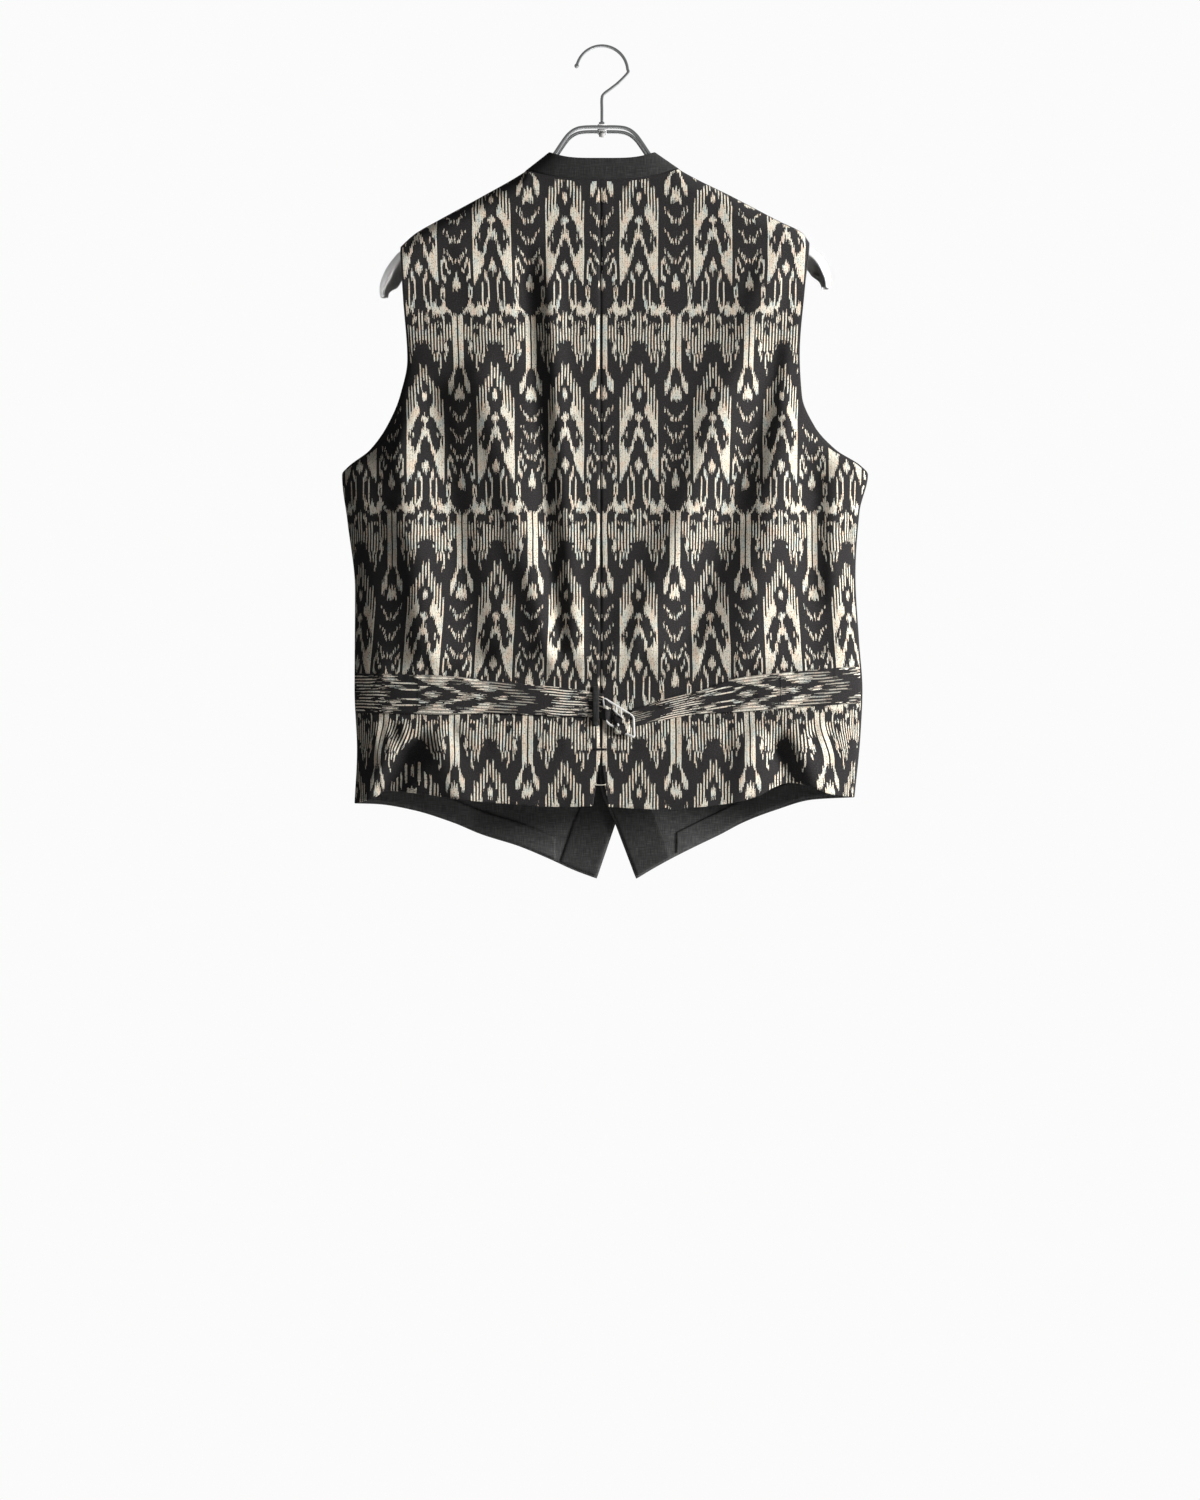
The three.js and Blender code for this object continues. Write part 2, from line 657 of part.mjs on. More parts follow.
// Each panel's outer and inner points.
function backPoints({ name, sign }) {
  const panel = { side: name, sign, inner: backInner, depth: backDepth, hem: backHem, facing: 1 };
  const outer = panelGrid({ ...panel, top: (x) => backTop(name, x) }, BACK_COLUMNS, BACK_ROWS, TOP_STEPS);
  const edges = { first: keepX, last: keepSide(sign), top: keepUp };
  const normals = gridNormals(outer, () => new THREE.Vector3(0, 1, 0.2), edges);
  return { outer, inner: moved(outer, normals, -CLOTH) };
}

function frontPoints({ name, sign }) {
  const panel = { side: name, sign, inner: frontInner, depth: frontDepth, hem: frontHem, facing: -1 };
  const outer = panelGrid({ ...panel, top: shoulderHeight[name] }, FRONT_COLUMNS, FRONT_ROWS, TOP_STEPS);
  const edges = { last: keepSide(sign), top: (normal) => normal.set(0, 0, 1) };
  const normals = gridNormals(outer, () => new THREE.Vector3(0, -1, 0.2), edges);
  return { outer, inner: moved(outer, normals, -CLOTH) };
}

const bySide = (make) => Object.fromEntries(SIDES.map((side) => [side.name, make(side)]));
const back = bySide(backPoints);
const front = bySide(frontPoints);
const backAt = (x, z) => depthOn(back[x > BACK_SEAM_X ? "left" : "right"].outer, x, z);

// A strip on the inside of a front, between two lines of (x, z) places that run side by side.
function innerStrip(side, lineA, lineB, across) {
  const surface = lineA.map((a, row) =>
    evenly(across).map((share) => {
      const [x, z] = [mix(a.x, lineB[row].x, share), mix(a.z, lineB[row].z, share)];
      return new THREE.Vector3(x, depthOn(front[side].inner, x, z), z);
    }),
  );
  const normals = gridNormals(surface, () => new THREE.Vector3(0, -1, 0));
  return wallBetween(moved(surface, normals, -ON_PANEL), moved(surface, normals, -ON_PANEL - FACING));
}

// The facing along a front's edge, from the hem's point up past the V's foot.
function frontFacing({ name, sign }) {
  const line = (offset, slant) =>
    FACING_ROWS.map((z, i) => {
      const x = frontInner(name, sign, z) + sign * offset;
      return { x, z: i === 0 ? z + slant : z };
    });
  return innerStrip(name, line(CLOTH, 0), line(FACING_WIDTH, FACING_SLANT), 4);
}

// The facing along a front's hem, from the front facing to the side seam.
function hemFacing({ name, sign }) {
  const foot = FRONT_HEM[name].at(-1);
  const first = sign * frontInner(name, sign, FACING_ROWS[1]) + FACING_WIDTH + HEM_FACING_ENDS.afterFacing;
  const places = evenly(12).map((share) => mix(first, foot.x - HEM_FACING_ENDS.beforeSeam, share));
  const line = (lift) => places.map((x) => ({ x: sign * x, z: frontHem[name](x) + lift }));
  return innerStrip(name, line(HEM_FOLD), line(HEM_FACING_WIDTH), 2);
}

// The neck band: its foot follows the two backs' neck edges and its top edge is narrower.
function neckBand() {
  const neckEdge = (layer) => [
    ...back.right[layer].at(-1).filter((p) => p.x > -NECK_HALF).reverse(),
    ...back.left[layer].at(-1).filter((p) => p.x < NECK_HALF),
  ];
  const lifted = (p) => p.clone().setZ(p.z + SEAM_GAP + 0.1);
  const foot = neckEdge("outer").map(lifted);
  const top = foot.map((p) => {
    const share = Math.abs(p.x / NECK_HALF);
    const depth = SEAM_GAP / 2 + BAND_TOP.depth * Math.cbrt(1 - share ** 5);
    const height = mix(BAND_TOP.middle, BAND_TOP.ends, share ** 4);
    return new THREE.Vector3((p.x / NECK_HALF) * BAND_HALF, depth, height);
  });
  const rows = evenly(3).map((lift) => foot.map((p, i) => p.clone().lerp(top[i], lift)));
  const normals = gridNormals(rows, (p) => new THREE.Vector3(p.x * 0.4, 14, 2));
  const inner = moved(rows, normals, -CLOTH);
  inner[0] = neckEdge("inner").map(lifted);
  return wallBetween(rows, inner);
}

// A strap on the back, made from the back's own points moved out.
function strap({ name, sign }) {
  const seam = sign * BACK_SEAM_X;
  const reach = (z) => halfWidth[name](z);
  const start = (STRAP_END[name] - seam) / (reach(BELT_HEIGHT) - seam);
  const shares = [start, ...columnShares(BACK_COLUMNS).filter((s) => s > start + 0.01 && s < 0.99), 0.995];
  const surface = shares.map((share) => {
    const near = mix(seam, reach(BELT_HEIGHT), share);
    return ACROSS_STRAP.map((down) => {
      const z = mix(strapTop[name](near), strapBottom[name](near), down);
      const x = sign * mix(seam, reach(z), share);
      return new THREE.Vector3(x, backAt(x, z), z);
    });
  });
  const normals = gridNormals(surface, () => new THREE.Vector3(0, 1, 0));
  return wallBetween(moved(surface, normals, ON_PANEL + CLOTH), moved(surface, normals, ON_PANEL));
}

// The loop over the strap, sewn to the back above and below it.
function beltLoop() {
  const { x, half, thick } = BELT_LOOP;
  const surface = LOOP_PROFILE.map(({ z, off }) =>
    [-half, 0, half].map((side) => new THREE.Vector3(x + side, backAt(x, z) + off, z)),
  );
  const normals = gridNormals(surface, () => new THREE.Vector3(0, 1, 0));
  return wallBetween(moved(surface, normals, thick), surface);
}

const bucklePlace = ({ x, z, off }) => new THREE.Vector3(x, backAt(x, z) + off, z);

// A point on the buckle's plane: `across` from its left bar to its right one, `down` from its top.
function onBuckle(across, down) {
  const upper = bucklePlace(BUCKLE.left).lerp(bucklePlace(BUCKLE.right), across);
  const lower = bucklePlace(BUCKLE.leftLow).lerp(bucklePlace(BUCKLE.rightLow), across);
  return upper.lerp(lower, down);
}

function buckle() {
  const corners = [
    [0, 0],
    [1, 0],
    [1, 1],
    [0, 1],
  ].map(([across, down]) => onBuckle(across, down));
  const ends = corners.map((corner, i) => [corner, corners[(i + 1) % 4]]);
  ends.push([onBuckle(MIDDLE_BAR, 0), onBuckle(MIDDLE_BAR, 1)]);
  const bars = ends.map(([from, to]) => rod(new THREE.LineCurve3(from, to), BUCKLE_WIRE, 6, 1));
  const knuckles = corners.map((p) => new THREE.SphereGeometry(BUCKLE_WIRE, 6, 4).translate(...p));
  return joined([...bars, ...knuckles]);
}

// The right strap's end, turned round the buckle's middle bar and back over itself.
function strapFold() {
  const clear = BUCKLE_WIRE + 2 * SEAM_GAP;
  const width = bucklePlace(BUCKLE.left).distanceTo(bucklePlace(BUCKLE.right));
  const round = [-90, -45, 0, 45, 90].map((degrees) => ({
    across: MIDDLE_BAR - (clear / width) * Math.cos(radians(degrees)),
    off: clear * Math.sin(radians(degrees)),
  }));
  const beyond = MIDDLE_BAR + 0.2;
  const turns = [
    { across: STRAP_FOLD.under, off: -clear },
    { across: beyond, off: -clear },
    ...round,
    { across: beyond, off: clear },
    { across: STRAP_FOLD.over, off: clear + STRAP_FOLD.rise },
  ];
  const surface = turns.map(({ across, off }) =>
    [STRAP_FOLD.top, 0.5, STRAP_FOLD.bottom].map((down) => {
      const place = onBuckle(across, down);
      return place.setY(place.y + off);
    }),
  );
  const middle = onBuckle(beyond, 0.5);
  const normals = gridNormals(surface, (p) => p.clone().sub(middle));
  return wallBetween(moved(surface, normals, STRAP_FOLD.thick), surface);
}

function button(height) {
  const { radius, foot, dish, thick, edge, rim, sink, off } = BUTTON;
  const profile = [
    [0, 0],
    [foot, 0],
    [radius, edge],
    [radius, thick - sink / 2],
    [radius - rim, thick],
    [dish, thick - sink],
    [0, thick - sink],
  ];
  const disc = new THREE.LatheGeometry(profile.map(([r, h]) => new THREE.Vector2(r, h)), 12);
  disc.rotateX(Math.PI);
  const x = centreFront(height);
  const step = radius / 2;
  const rise = frontDepth("left", x + step, height) - frontDepth("left", x - step, height);
  disc.rotateZ(-Math.atan(rise / (2 * step)));
  return disc.translate(x, -frontDepth("left", x, height) - off, height);
}

// The hanger

function hook() {
  const stem = HOOK_STEM.map(({ x, z }) => new THREE.Vector3(x, 0, z));
  const ring = evenly(14).map((share) => {
    const turn = radians(mix(HOOK_TURN.from, HOOK_TURN.to, share));
    const [x, z] = [-HOOK_RADIUS * Math.cos(turn), HOOK_RADIUS * (Math.sin(turn) - 1) + WIRE];
    return new THREE.Vector3(x, 0, z);
  });
  const wire = rod(smoothPath([...stem, ...ring]), WIRE, 8, 36);
  const ball = new THREE.SphereGeometry(HOOK_BALL, 8, 6);
  return joined([wire, ball.translate(...ring.at(-1))]);
}

function neckBar(sign) {
  const half = (side) => NECK_BAR.map(({ x, z }) => new THREE.Vector3(side * x, sign * BAR_SPREAD, z));
  return rod(smoothPath([...half(1).slice(1).reverse(), ...half(-1)]), BAR, 8, 26);
}

function upright({ radius, low, high }, sides) {
  const body = new THREE.CylinderGeometry(radius, radius, high - low, sides);
  return body.rotateX(Math.PI / 2).translate(0, 0, (low + high) / 2);
}

function bridge() {
  const block = new THREE.BoxGeometry(BRIDGE.wide, 2 * (BAR_SPREAD - BAR - SEAM_GAP), BRIDGE.tall);
  return block.translate(0, 0, BRIDGE.z);
}

// One arm: an arched plate that widens towards the shoulder and droops at its round end.
function arm({ name, sign }) {
  const straight = evenly(9).slice(0, -1).map((share) => {
    const x = mix(ARM_START, ARM_STRAIGHT_TO, share);
    const lower = NEAR_NECK.drop * (1 - smooth((x - ARM_START) / NEAR_NECK.over));
    return { x, z: shoulderHeight[name](x) - UNDER_CLOTH - lower };
  });
  const places = [...straight, ...ARM_TIP[name]].map(({ x, z }) => new THREE.Vector3(sign * x, 0, z));
  const spine = new THREE.CatmullRomCurve3(places);
  const surface = evenly(ARM_STATIONS).map((share) => {
    const place = spine.getPointAt(share);
    const ahead = spine.getTangentAt(share);
    const up = new THREE.Vector3(-ahead.z * sign, 0, ahead.x * sign).normalize();
    const closing = smooth((share - ARM_END.from) / (1 - ARM_END.from));
    const taper = Math.sqrt(1 - (1 - ARM_END.keep) * closing ** 2);
    const wide = mix(ARM_WIDE.neck, ARM_WIDE.shoulder, smooth(share * 2)) * taper;
    const deep = mix(ARM_DEEP.neck, ARM_DEEP.shoulder, smooth(share * 2)) * taper;
    return ACROSS_ARM.map(radians).map((turn) => {
      const point = place.clone().addScaledVector(up, -deep * (1 - Math.cos(turn)));
      return point.setY(wide * Math.sin(turn));
    });
  });
  const normals = gridNormals(surface, (p) => new THREE.Vector3(sign * 0.5, p.y * 0.1, 1));
  return wallBetween(surface, moved(surface, normals, -ARM_PLATE));
}

SIDES.forEach((side) => {
  add(garment, `back_${side.name}`, panelWall(back[side.name]), FINISH.patterned);
  add(garment, `front_${side.name}`, panelWall(front[side.name]), FINISH.dark);
  add(garment, `front_facing_${side.name}`, frontFacing(side), FINISH.dark);
  add(garment, `hem_facing_${side.name}`, hemFacing(side), FINISH.dark);
  add(garment, `strap_${side.name}`, strap(side), FINISH.patterned);
  add(hanger, `arm_${side.name}`, arm(side), FINISH.chrome);
});
add(garment, "neck_band", neckBand(), FINISH.dark);
add(garment, "belt_loop", beltLoop(), FINISH.dark);
add(garment, "strap_fold", strapFold(), FINISH.patterned);
add(garment, "buckle", buckle(), FINISH.buckle);
BUTTON_HEIGHTS.forEach((height, i) => add(garment, `button_${i + 1}`, button(height), FINISH.horn));
add(hanger, "hook", hook(), FINISH.chrome);
add(hanger, "hook_collar", upright(COLLAR, 12), FINISH.chrome);
add(hanger, "hook_nut", upright(NUT, 6), FINISH.chrome);
add(hanger, "bridge", bridge(), FINISH.chrome);
add(hanger, "neck_bar_back", neckBar(1), FINISH.chrome);
add(hanger, "neck_bar_front", neckBar(-1), FINISH.chrome);

const whole = new THREE.Group();
whole.add(garment, hanger);
export default whole;
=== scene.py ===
"""A man's waistcoat on a metal hanger: cloth, belt, buckle, buttons, stitching and chrome.

Tables hold millimetres, which become metres where a mesh is made. +Z is up and the
fronts face -Y, so +X is the wearer's left and the camera stands on the +Y side.
"""
from __future__ import annotations

import logging
import math
from dataclasses import dataclass, field
from enum import Enum
from typing import Any, Callable, Sequence

import bpy
import numpy as np
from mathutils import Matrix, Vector


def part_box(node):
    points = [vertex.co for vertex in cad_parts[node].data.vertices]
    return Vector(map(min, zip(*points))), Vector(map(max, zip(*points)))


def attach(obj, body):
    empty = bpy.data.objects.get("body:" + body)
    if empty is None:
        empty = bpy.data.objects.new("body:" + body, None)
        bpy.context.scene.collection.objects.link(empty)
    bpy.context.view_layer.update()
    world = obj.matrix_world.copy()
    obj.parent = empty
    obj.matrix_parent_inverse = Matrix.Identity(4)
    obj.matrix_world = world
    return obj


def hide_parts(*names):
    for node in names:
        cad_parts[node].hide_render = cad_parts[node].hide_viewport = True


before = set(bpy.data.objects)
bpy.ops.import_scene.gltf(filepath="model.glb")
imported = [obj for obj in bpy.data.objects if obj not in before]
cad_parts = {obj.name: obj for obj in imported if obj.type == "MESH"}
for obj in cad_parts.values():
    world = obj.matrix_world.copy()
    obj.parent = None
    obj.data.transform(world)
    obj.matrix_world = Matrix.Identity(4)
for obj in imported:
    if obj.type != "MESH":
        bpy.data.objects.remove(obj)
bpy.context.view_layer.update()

MM = 0.001
BODY = "root"
SEED = 7
RIM_ROUND = 0.4  # how far a cloth's rim bulges, in thicknesses
NO_EDGE = 99.0  # a distance to an edge that no margin reaches

log = logging.getLogger("waistcoat")

Points = np.ndarray
Faces = list[list[int]]
Solid = tuple[Points, Faces]


class Side(Enum):
    """A half of the garment as its wearer says it, and the way it lies along X."""

    LEFT = 1
    RIGHT = -1

    @property
    def word(self) -> str:
        """The side's name in lower case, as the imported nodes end."""
        return self.name.lower()


class Slot(Enum):
    """The record's material slots."""

    BACK = "back_cloth"
    FRONT = "front_cloth"
    CHROME = "hanger_metal"
    BRIDGE = "bridge_block"
    BUCKLE = "buckle_metal"
    BUTTON = "buttons"


# Plain functions on numbers and arrays


def mix(a: Any, b: Any, share: Any) -> Any:
    """The value a share of the way from a to b."""
    return a + (b - a) * share


def smooth(share: Any) -> Any:
    """An even step from 0 to 1 as share goes from 0 to 1."""
    s = np.clip(share, 0, 1)
    return s * s * (3 - 2 * s)


def bell(off: Any, wide: Any) -> Any:
    """A soft bump, 1 in its middle, that fades over about its width."""
    return np.exp(-((off / wide) ** 2))


@dataclass(frozen=True)
class Curve:
    """A smooth curve through a few places that never overshoots them."""

    places: tuple[tuple[float, float], ...]

    def __call__(self, at: Any) -> np.ndarray:
        """Reads the curve.

        Args:
            at: Where to read it, one value or an array.
        Returns:
            The curve's value at each place, held level past its ends.
        """
        xs, ys = np.array(sorted(self.places), float).T
        rise = np.diff(ys) / np.diff(xs)
        before, after = rise[:-1], rise[1:]
        same = before * after > 0
        middle = np.where(same, 2 * before * after / np.where(same, before + after, 1), 0)
        slope = np.concatenate([rise[:1], middle, rise[-1:]])
        v = np.clip(at, xs[0], xs[-1])
        i = np.clip(np.searchsorted(xs, v, side="right") - 1, 0, len(xs) - 2)
        span = xs[i + 1] - xs[i]
        t = (v - xs[i]) / span
        stay = t * t * (2 * t - 3) + 1
        leave = t * (t - 1) ** 2 * span * slope[i]
        arrive = t * t * (t - 1) * span * slope[i + 1]
        return stay * ys[i] + (1 - stay) * ys[i + 1] + leave + arrive


@dataclass(frozen=True)
class Fold:
    """A soft ridge, or a trough where its height is below 0, along a line on the cloth."""

    x1: float
    z1: float
    x2: float
    z2: float
    height: float
    wide1: float
    wide2: float
    fade: float = 1.6

    def at(self, x: np.ndarray, z: np.ndarray) -> np.ndarray:
        """How far the fold lifts the cloth.

        Args:
            x: Places across the garment.
            z: Heights of the same places.
        Returns:
            The lift at each place, which fades out past the fold's ends.
        """
        dx, dz = self.x2 - self.x1, self.z2 - self.z1
        long = math.hypot(dx, dz)
        along = ((x - self.x1) * dx + (z - self.z1) * dz) / long**2
        off = ((x - self.x1) * dz - (z - self.z1) * dx) / long
        wide = mix(self.wide1, self.wide2, np.clip(along, 0, 1))
        past = np.maximum(0, np.maximum(-along, along - 1)) * long
        return self.height * bell(off, wide) * (1 - smooth(past / (self.fade * wide)))


def folds_from(rows: Sequence[Sequence[float]]) -> tuple[Fold, ...]:
    """Folds from a table of x1, z1, x2, z2, height, wide1, wide2."""
    return tuple(Fold(*row) for row in rows)


# Meshes


def make_object(name: str, points: Points, faces: Faces, layers: dict[str, np.ndarray] | None = None
                ) -> bpy.types.Object:
    """Makes a smooth-shaded mesh object.

    Args:
        name: The piece's name.
        points: Its points in millimetres.
        faces: The point numbers of each face, facing out.
        layers: Two numbers for each point, by the name of the UV map that holds them.
    Returns:
        The new object, in metres.
    """
    mesh = bpy.data.meshes.new(name)
    mesh.from_pydata((np.asarray(points) * MM).tolist(), [], faces)
    corner = np.zeros(len(mesh.loops), int)
    mesh.loops.foreach_get("vertex_index", corner)
    for title, values in (layers or {}).items():
        layer = mesh.uv_layers.new(name=title)
        layer.data.foreach_set("uv", (np.asarray(values)[corner] * MM).astype(np.float32).ravel())
    mesh.shade_smooth()
    made = bpy.data.objects.new(name, mesh)
    bpy.context.scene.collection.objects.link(made)
    return made


def joined(parts: Sequence[Solid]) -> Solid:
    """Puts several solids into one list of points and faces.

    Args:
        parts: The solids, each its points and its faces.
    Returns:
        One solid.
    """
    points, faces, start = [], [], 0
    for some, their in parts:
        points.append(some)
        faces += [[i + start for i in face] for face in their]
        start += len(some)
    return np.vstack(points), faces


def smooth_path(places: Sequence[Sequence[float]], steps: int = 8) -> Points:
    """Draws a smooth line through places.

    Args:
        places: Points that the line passes.
        steps: How many points it gets between two of them.
    Returns:
        The points of the line.
    """
    p = np.array(places, float)
    p = np.vstack([2 * p[0] - p[1], p, 2 * p[-1] - p[-2]])
    t = (np.arange(steps) / steps)[:, None]
    line = []
    for a, b, c, d in zip(p, p[1:], p[2:], p[3:]):
        line.append(0.5 * (2 * b + (c - a) * t + (2 * a - 5 * b + 4 * c - d) * t**2
                           + (3 * b - a - 3 * c + d) * t**3))
    return np.vstack([*line, p[-2:-1]])


def evenly_spaced(path: Points, count: int) -> Points:
    """Reads a path at places that lie the same way apart along it.

    Args:
        path: The path's points.
        count: How many places it is read at.
    Returns:
        The places.
    """
    length = np.concatenate([[0], np.cumsum(np.linalg.norm(np.diff(path, axis=0), axis=1))])
    stops = np.linspace(0, length[-1], count)
    return np.column_stack([np.interp(stops, length, path[:, axis]) for axis in range(3)])


def tube(path: Points, radius: float, sides: int = 16, closed: bool = False) -> Solid:
    """Sweeps a round section along a path.

    Args:
        path: Points of its middle line.
        radius: The section's radius.
        sides: How many points the section has.
        closed: Whether the path's end meets its start.
    Returns:
        The tube's points and faces, with flat ends where it is open.
    """
    path = np.asarray(path, float)
    before, after = np.roll(path, 1, axis=0), np.roll(path, -1, axis=0)
    if not closed:
        before[0], after[-1] = path[0], path[-1]
    ahead = after - before
    ahead /= np.linalg.norm(ahead, axis=1, keepdims=True)
    side = np.cross(ahead[0], (0, 0, 1) if abs(ahead[0][2]) < 0.9 else (0, 1, 0))
    turns = np.arange(sides) * 2 * np.pi / sides
    rings = []
    for place, direction in zip(path, ahead):
        side = side - direction * (side @ direction)
        side /= np.linalg.norm(side)
        up = np.cross(direction, side)
        rings.append(place + radius * (np.outer(np.cos(turns), side) + np.outer(np.sin(turns), up)))
    faces = rings_to_faces(len(rings), sides, closed)
    return np.vstack(rings), faces


def rings_to_faces(rings: int, sides: int, closed: bool = False) -> Faces:
    """Joins rings of points into faces.

    Args:
        rings: How many rings there are.
        sides: How many points each has.
        closed: Whether the last ring joins the first; otherwise both ends are capped.
    Returns:
        The faces, facing out where the rings turn to the left as they go ahead.
    """
    faces = []
    for r in range(rings if closed else rings - 1):
        a, b = r * sides, (r + 1) % rings * sides
        faces += [[a + i, a + (i + 1) % sides, b + (i + 1) % sides, b + i] for i in range(sides)]
    if not closed:
        last = (rings - 1) * sides
        faces += [list(range(sides))[::-1], [last + i for i in range(sides)]]
    return faces


def lathe(profile: Sequence[tuple[float, float]], sides: int = 40) -> Solid:
    """Turns a profile round the Z axis, with flat ends.

    Args:
        profile: Pairs of radius and height, from the bottom up.
        sides: How many points a ring has.
    Returns:
        The turned solid.
    """
    turns = np.arange(sides) * 2 * np.pi / sides
    rings = [np.column_stack([r * np.cos(turns), r * np.sin(turns), np.full(sides, h)])
             for r, h in profile]
    return np.vstack(rings), rings_to_faces(len(profile), sides)


def turned(solid: Solid, z_axis: Sequence[float], place: Sequence[float]) -> Solid:
    """Stands a solid made along Z on another axis and moves it to a place.

    Args:
        solid: What is turned.
        z_axis: Where its Z axis then points.
        place: Where its origin goes.
    Returns:
        The solid in its place.
    """
    quaternion = Vector(z_axis).to_track_quat("Z", "Y")
    matrix = np.array(quaternion.to_matrix())
    return solid[0] @ matrix.T + np.array(place, float), solid[1]


def stitches(path: Points, outward: Points, length: float, gap: float, radius: float) -> Solid:
    """Sews short stitches along a path.

    Args:
        path: Points on the cloth's face that the seam follows.
        outward: The way off the cloth, one direction for the whole seam.
        length: How long each stitch shows.
        gap: How far apart two stitches are.
        radius: The thread's radius.
    Returns:
        All the stitches as one solid, each bowed up a little from the cloth.
    """
    total = np.linalg.norm(np.diff(path, axis=0), axis=1).sum()
    count = max(1, int(total / (length + gap)))
    fine = evenly_spaced(path, count * 10 + 1)
    lift = np.array(outward, float) / np.linalg.norm(outward)
    parts = []
    for i in range(count):
        share = length / (length + gap)
        ids = np.clip(np.round(i * 10 + np.linspace(0, 10 * share, 5)).astype(int), 0, len(fine) - 1)
        bow = np.array([-0.7, 0.5, 0.9, 0.5, -0.7])[:, None] * radius
        parts.append(tube(fine[ids] + lift * bow, radius, 6))
    return joined(parts)


@dataclass
class ClothGrid:
    """A piece of cloth as rows of points, with what its weave needs to know of each.

    points: Rows by columns of places in millimetres, on the cloth's face.
    threads: Where each point lies across and along the threads.
    outward: Roughly the way off the face.
    edges: How far each point lies from the centre seam and from a turned edge.
    """

    points: np.ndarray
    threads: np.ndarray
    outward: tuple[float, float, float]
    edges: np.ndarray | None = None

    def normals(self) -> tuple[np.ndarray, bool]:
        """Works out the ways off the face.

        Returns:
            One direction for each point, and whether the rows wind the other way.
        """
        normal = np.cross(np.gradient(self.points, axis=1), np.gradient(self.points, axis=0))
        normal /= np.maximum(np.linalg.norm(normal, axis=2, keepdims=True), 1e-9)
        turned_over = bool((normal @ np.array(self.outward, float)).mean() < 0)
        return (-normal if turned_over else normal), turned_over

    def shell(self, name: str, thickness: float, lift: float = 0.0) -> bpy.types.Object:
        """Makes the cloth as a thin closed shell with a rounded rim.

        Args:
            name: The piece's name.
            thickness: The cloth's thickness.
            lift: How far its face stands off the points.
        Returns:
            The new object.
        """
        normal, turned_over = self.normals()
        outer = self.points + normal * lift
        inner = outer - normal * thickness
        rows, columns = outer.shape[:2]
        number = np.arange(rows * columns).reshape(rows, columns)
        ring = np.concatenate([number[0, :-1], number[:-1, -1], number[-1, :0:-1], number[:0:-1, 0]])
        r, c = np.divmod(ring, columns)
        inside = outer[np.clip(r, 1, rows - 2), np.clip(c, 1, columns - 2)]
        out = outer[r, c] - inside
        out -= normal[r, c] * np.sum(out * normal[r, c], axis=1, keepdims=True)
        out /= np.maximum(np.linalg.norm(out, axis=1, keepdims=True), 1e-9)
        rim = (outer[r, c] + inner[r, c]) / 2 + out * thickness * RIM_ROUND
        corners = [number[:-1, :-1], number[:-1, 1:], number[1:, 1:], number[1:, :-1]]
        face = np.stack(corners, axis=2).reshape(-1, 4)
        middle = 2 * rows * columns + np.arange(len(ring))
        low = ring + rows * columns
        next_ring, next_middle, next_low = (np.roll(ids, -1) for ids in (ring, middle, low))
        sides = [np.column_stack([ring, middle, next_middle, next_ring]),
                 np.column_stack([middle, low, next_low, next_middle])]
        faces = np.vstack([face, face[:, ::-1] + rows * columns, *sides])
        if turned_over:
            faces = faces[:, ::-1]
        points = np.vstack([outer.reshape(-1, 3), inner.reshape(-1, 3), rim])
        layers = {"threads": self._for_shell(self.threads, ring)}
        if self.edges is not None:
            layers["edges"] = self._for_shell(self.edges, ring)
        return make_object(name, points, faces.tolist(), layers)

    @staticmethod
    def _for_shell(values: np.ndarray, ring: np.ndarray) -> np.ndarray:
        """Repeats a grid's values for the shell's face, its back and its rim."""
        flat = values.reshape(-1, 2)
        return np.vstack([flat, flat, flat[ring]])


# Node materials


class Value:
    """A number or colour on its way through a material, which takes part in Python sums."""

    def __init__(self, graph: Graph, socket: bpy.types.NodeSocket) -> None:
        """Keeps the node graph and the socket that the value comes from."""
        self.graph = graph
        self.socket = socket

    def math(self, operation: str, *others: Any) -> Value:
        """Adds one Math node that works on this value first."""
        return self.graph.math(operation, self, *others)

    def __add__(self, other: Any) -> Value:
        """This value plus another."""
        return self.math("ADD", other)

    def __radd__(self, other: Any) -> Value:
        """A number plus this value."""
        return self.graph.math("ADD", other, self)

    def __sub__(self, other: Any) -> Value:
        """This value less another."""
        return self.math("SUBTRACT", other)

    def __rsub__(self, other: Any) -> Value:
        """A number less this value."""
        return self.graph.math("SUBTRACT", other, self)

    def __mul__(self, other: Any) -> Value:
        """This value times another."""
        return self.math("MULTIPLY", other)

    def __rmul__(self, other: Any) -> Value:
        """A number times this value."""
        return self.graph.math("MULTIPLY", other, self)

    def __truediv__(self, other: Any) -> Value:
        """This value over another."""
        return self.math("DIVIDE", other)

    def __rtruediv__(self, other: Any) -> Value:
        """A number over this value."""
        return self.graph.math("DIVIDE", other, self)

    def __gt__(self, other: Any) -> Value:
        """1 where this value is above another, else 0."""
        return self.math("GREATER_THAN", other)

    def __lt__(self, other: Any) -> Value:
        """1 where this value is below another, else 0."""
        return self.math("LESS_THAN", other)

    def __abs__(self) -> Value:
        """This value without its sign."""
        return self.math("ABSOLUTE")

    def floor(self) -> Value:
        """The whole number below this value."""
        return self.math("FLOOR")

    def fraction(self) -> Value:
        """What this value has above the whole number below it."""
        return self.math("FRACT")


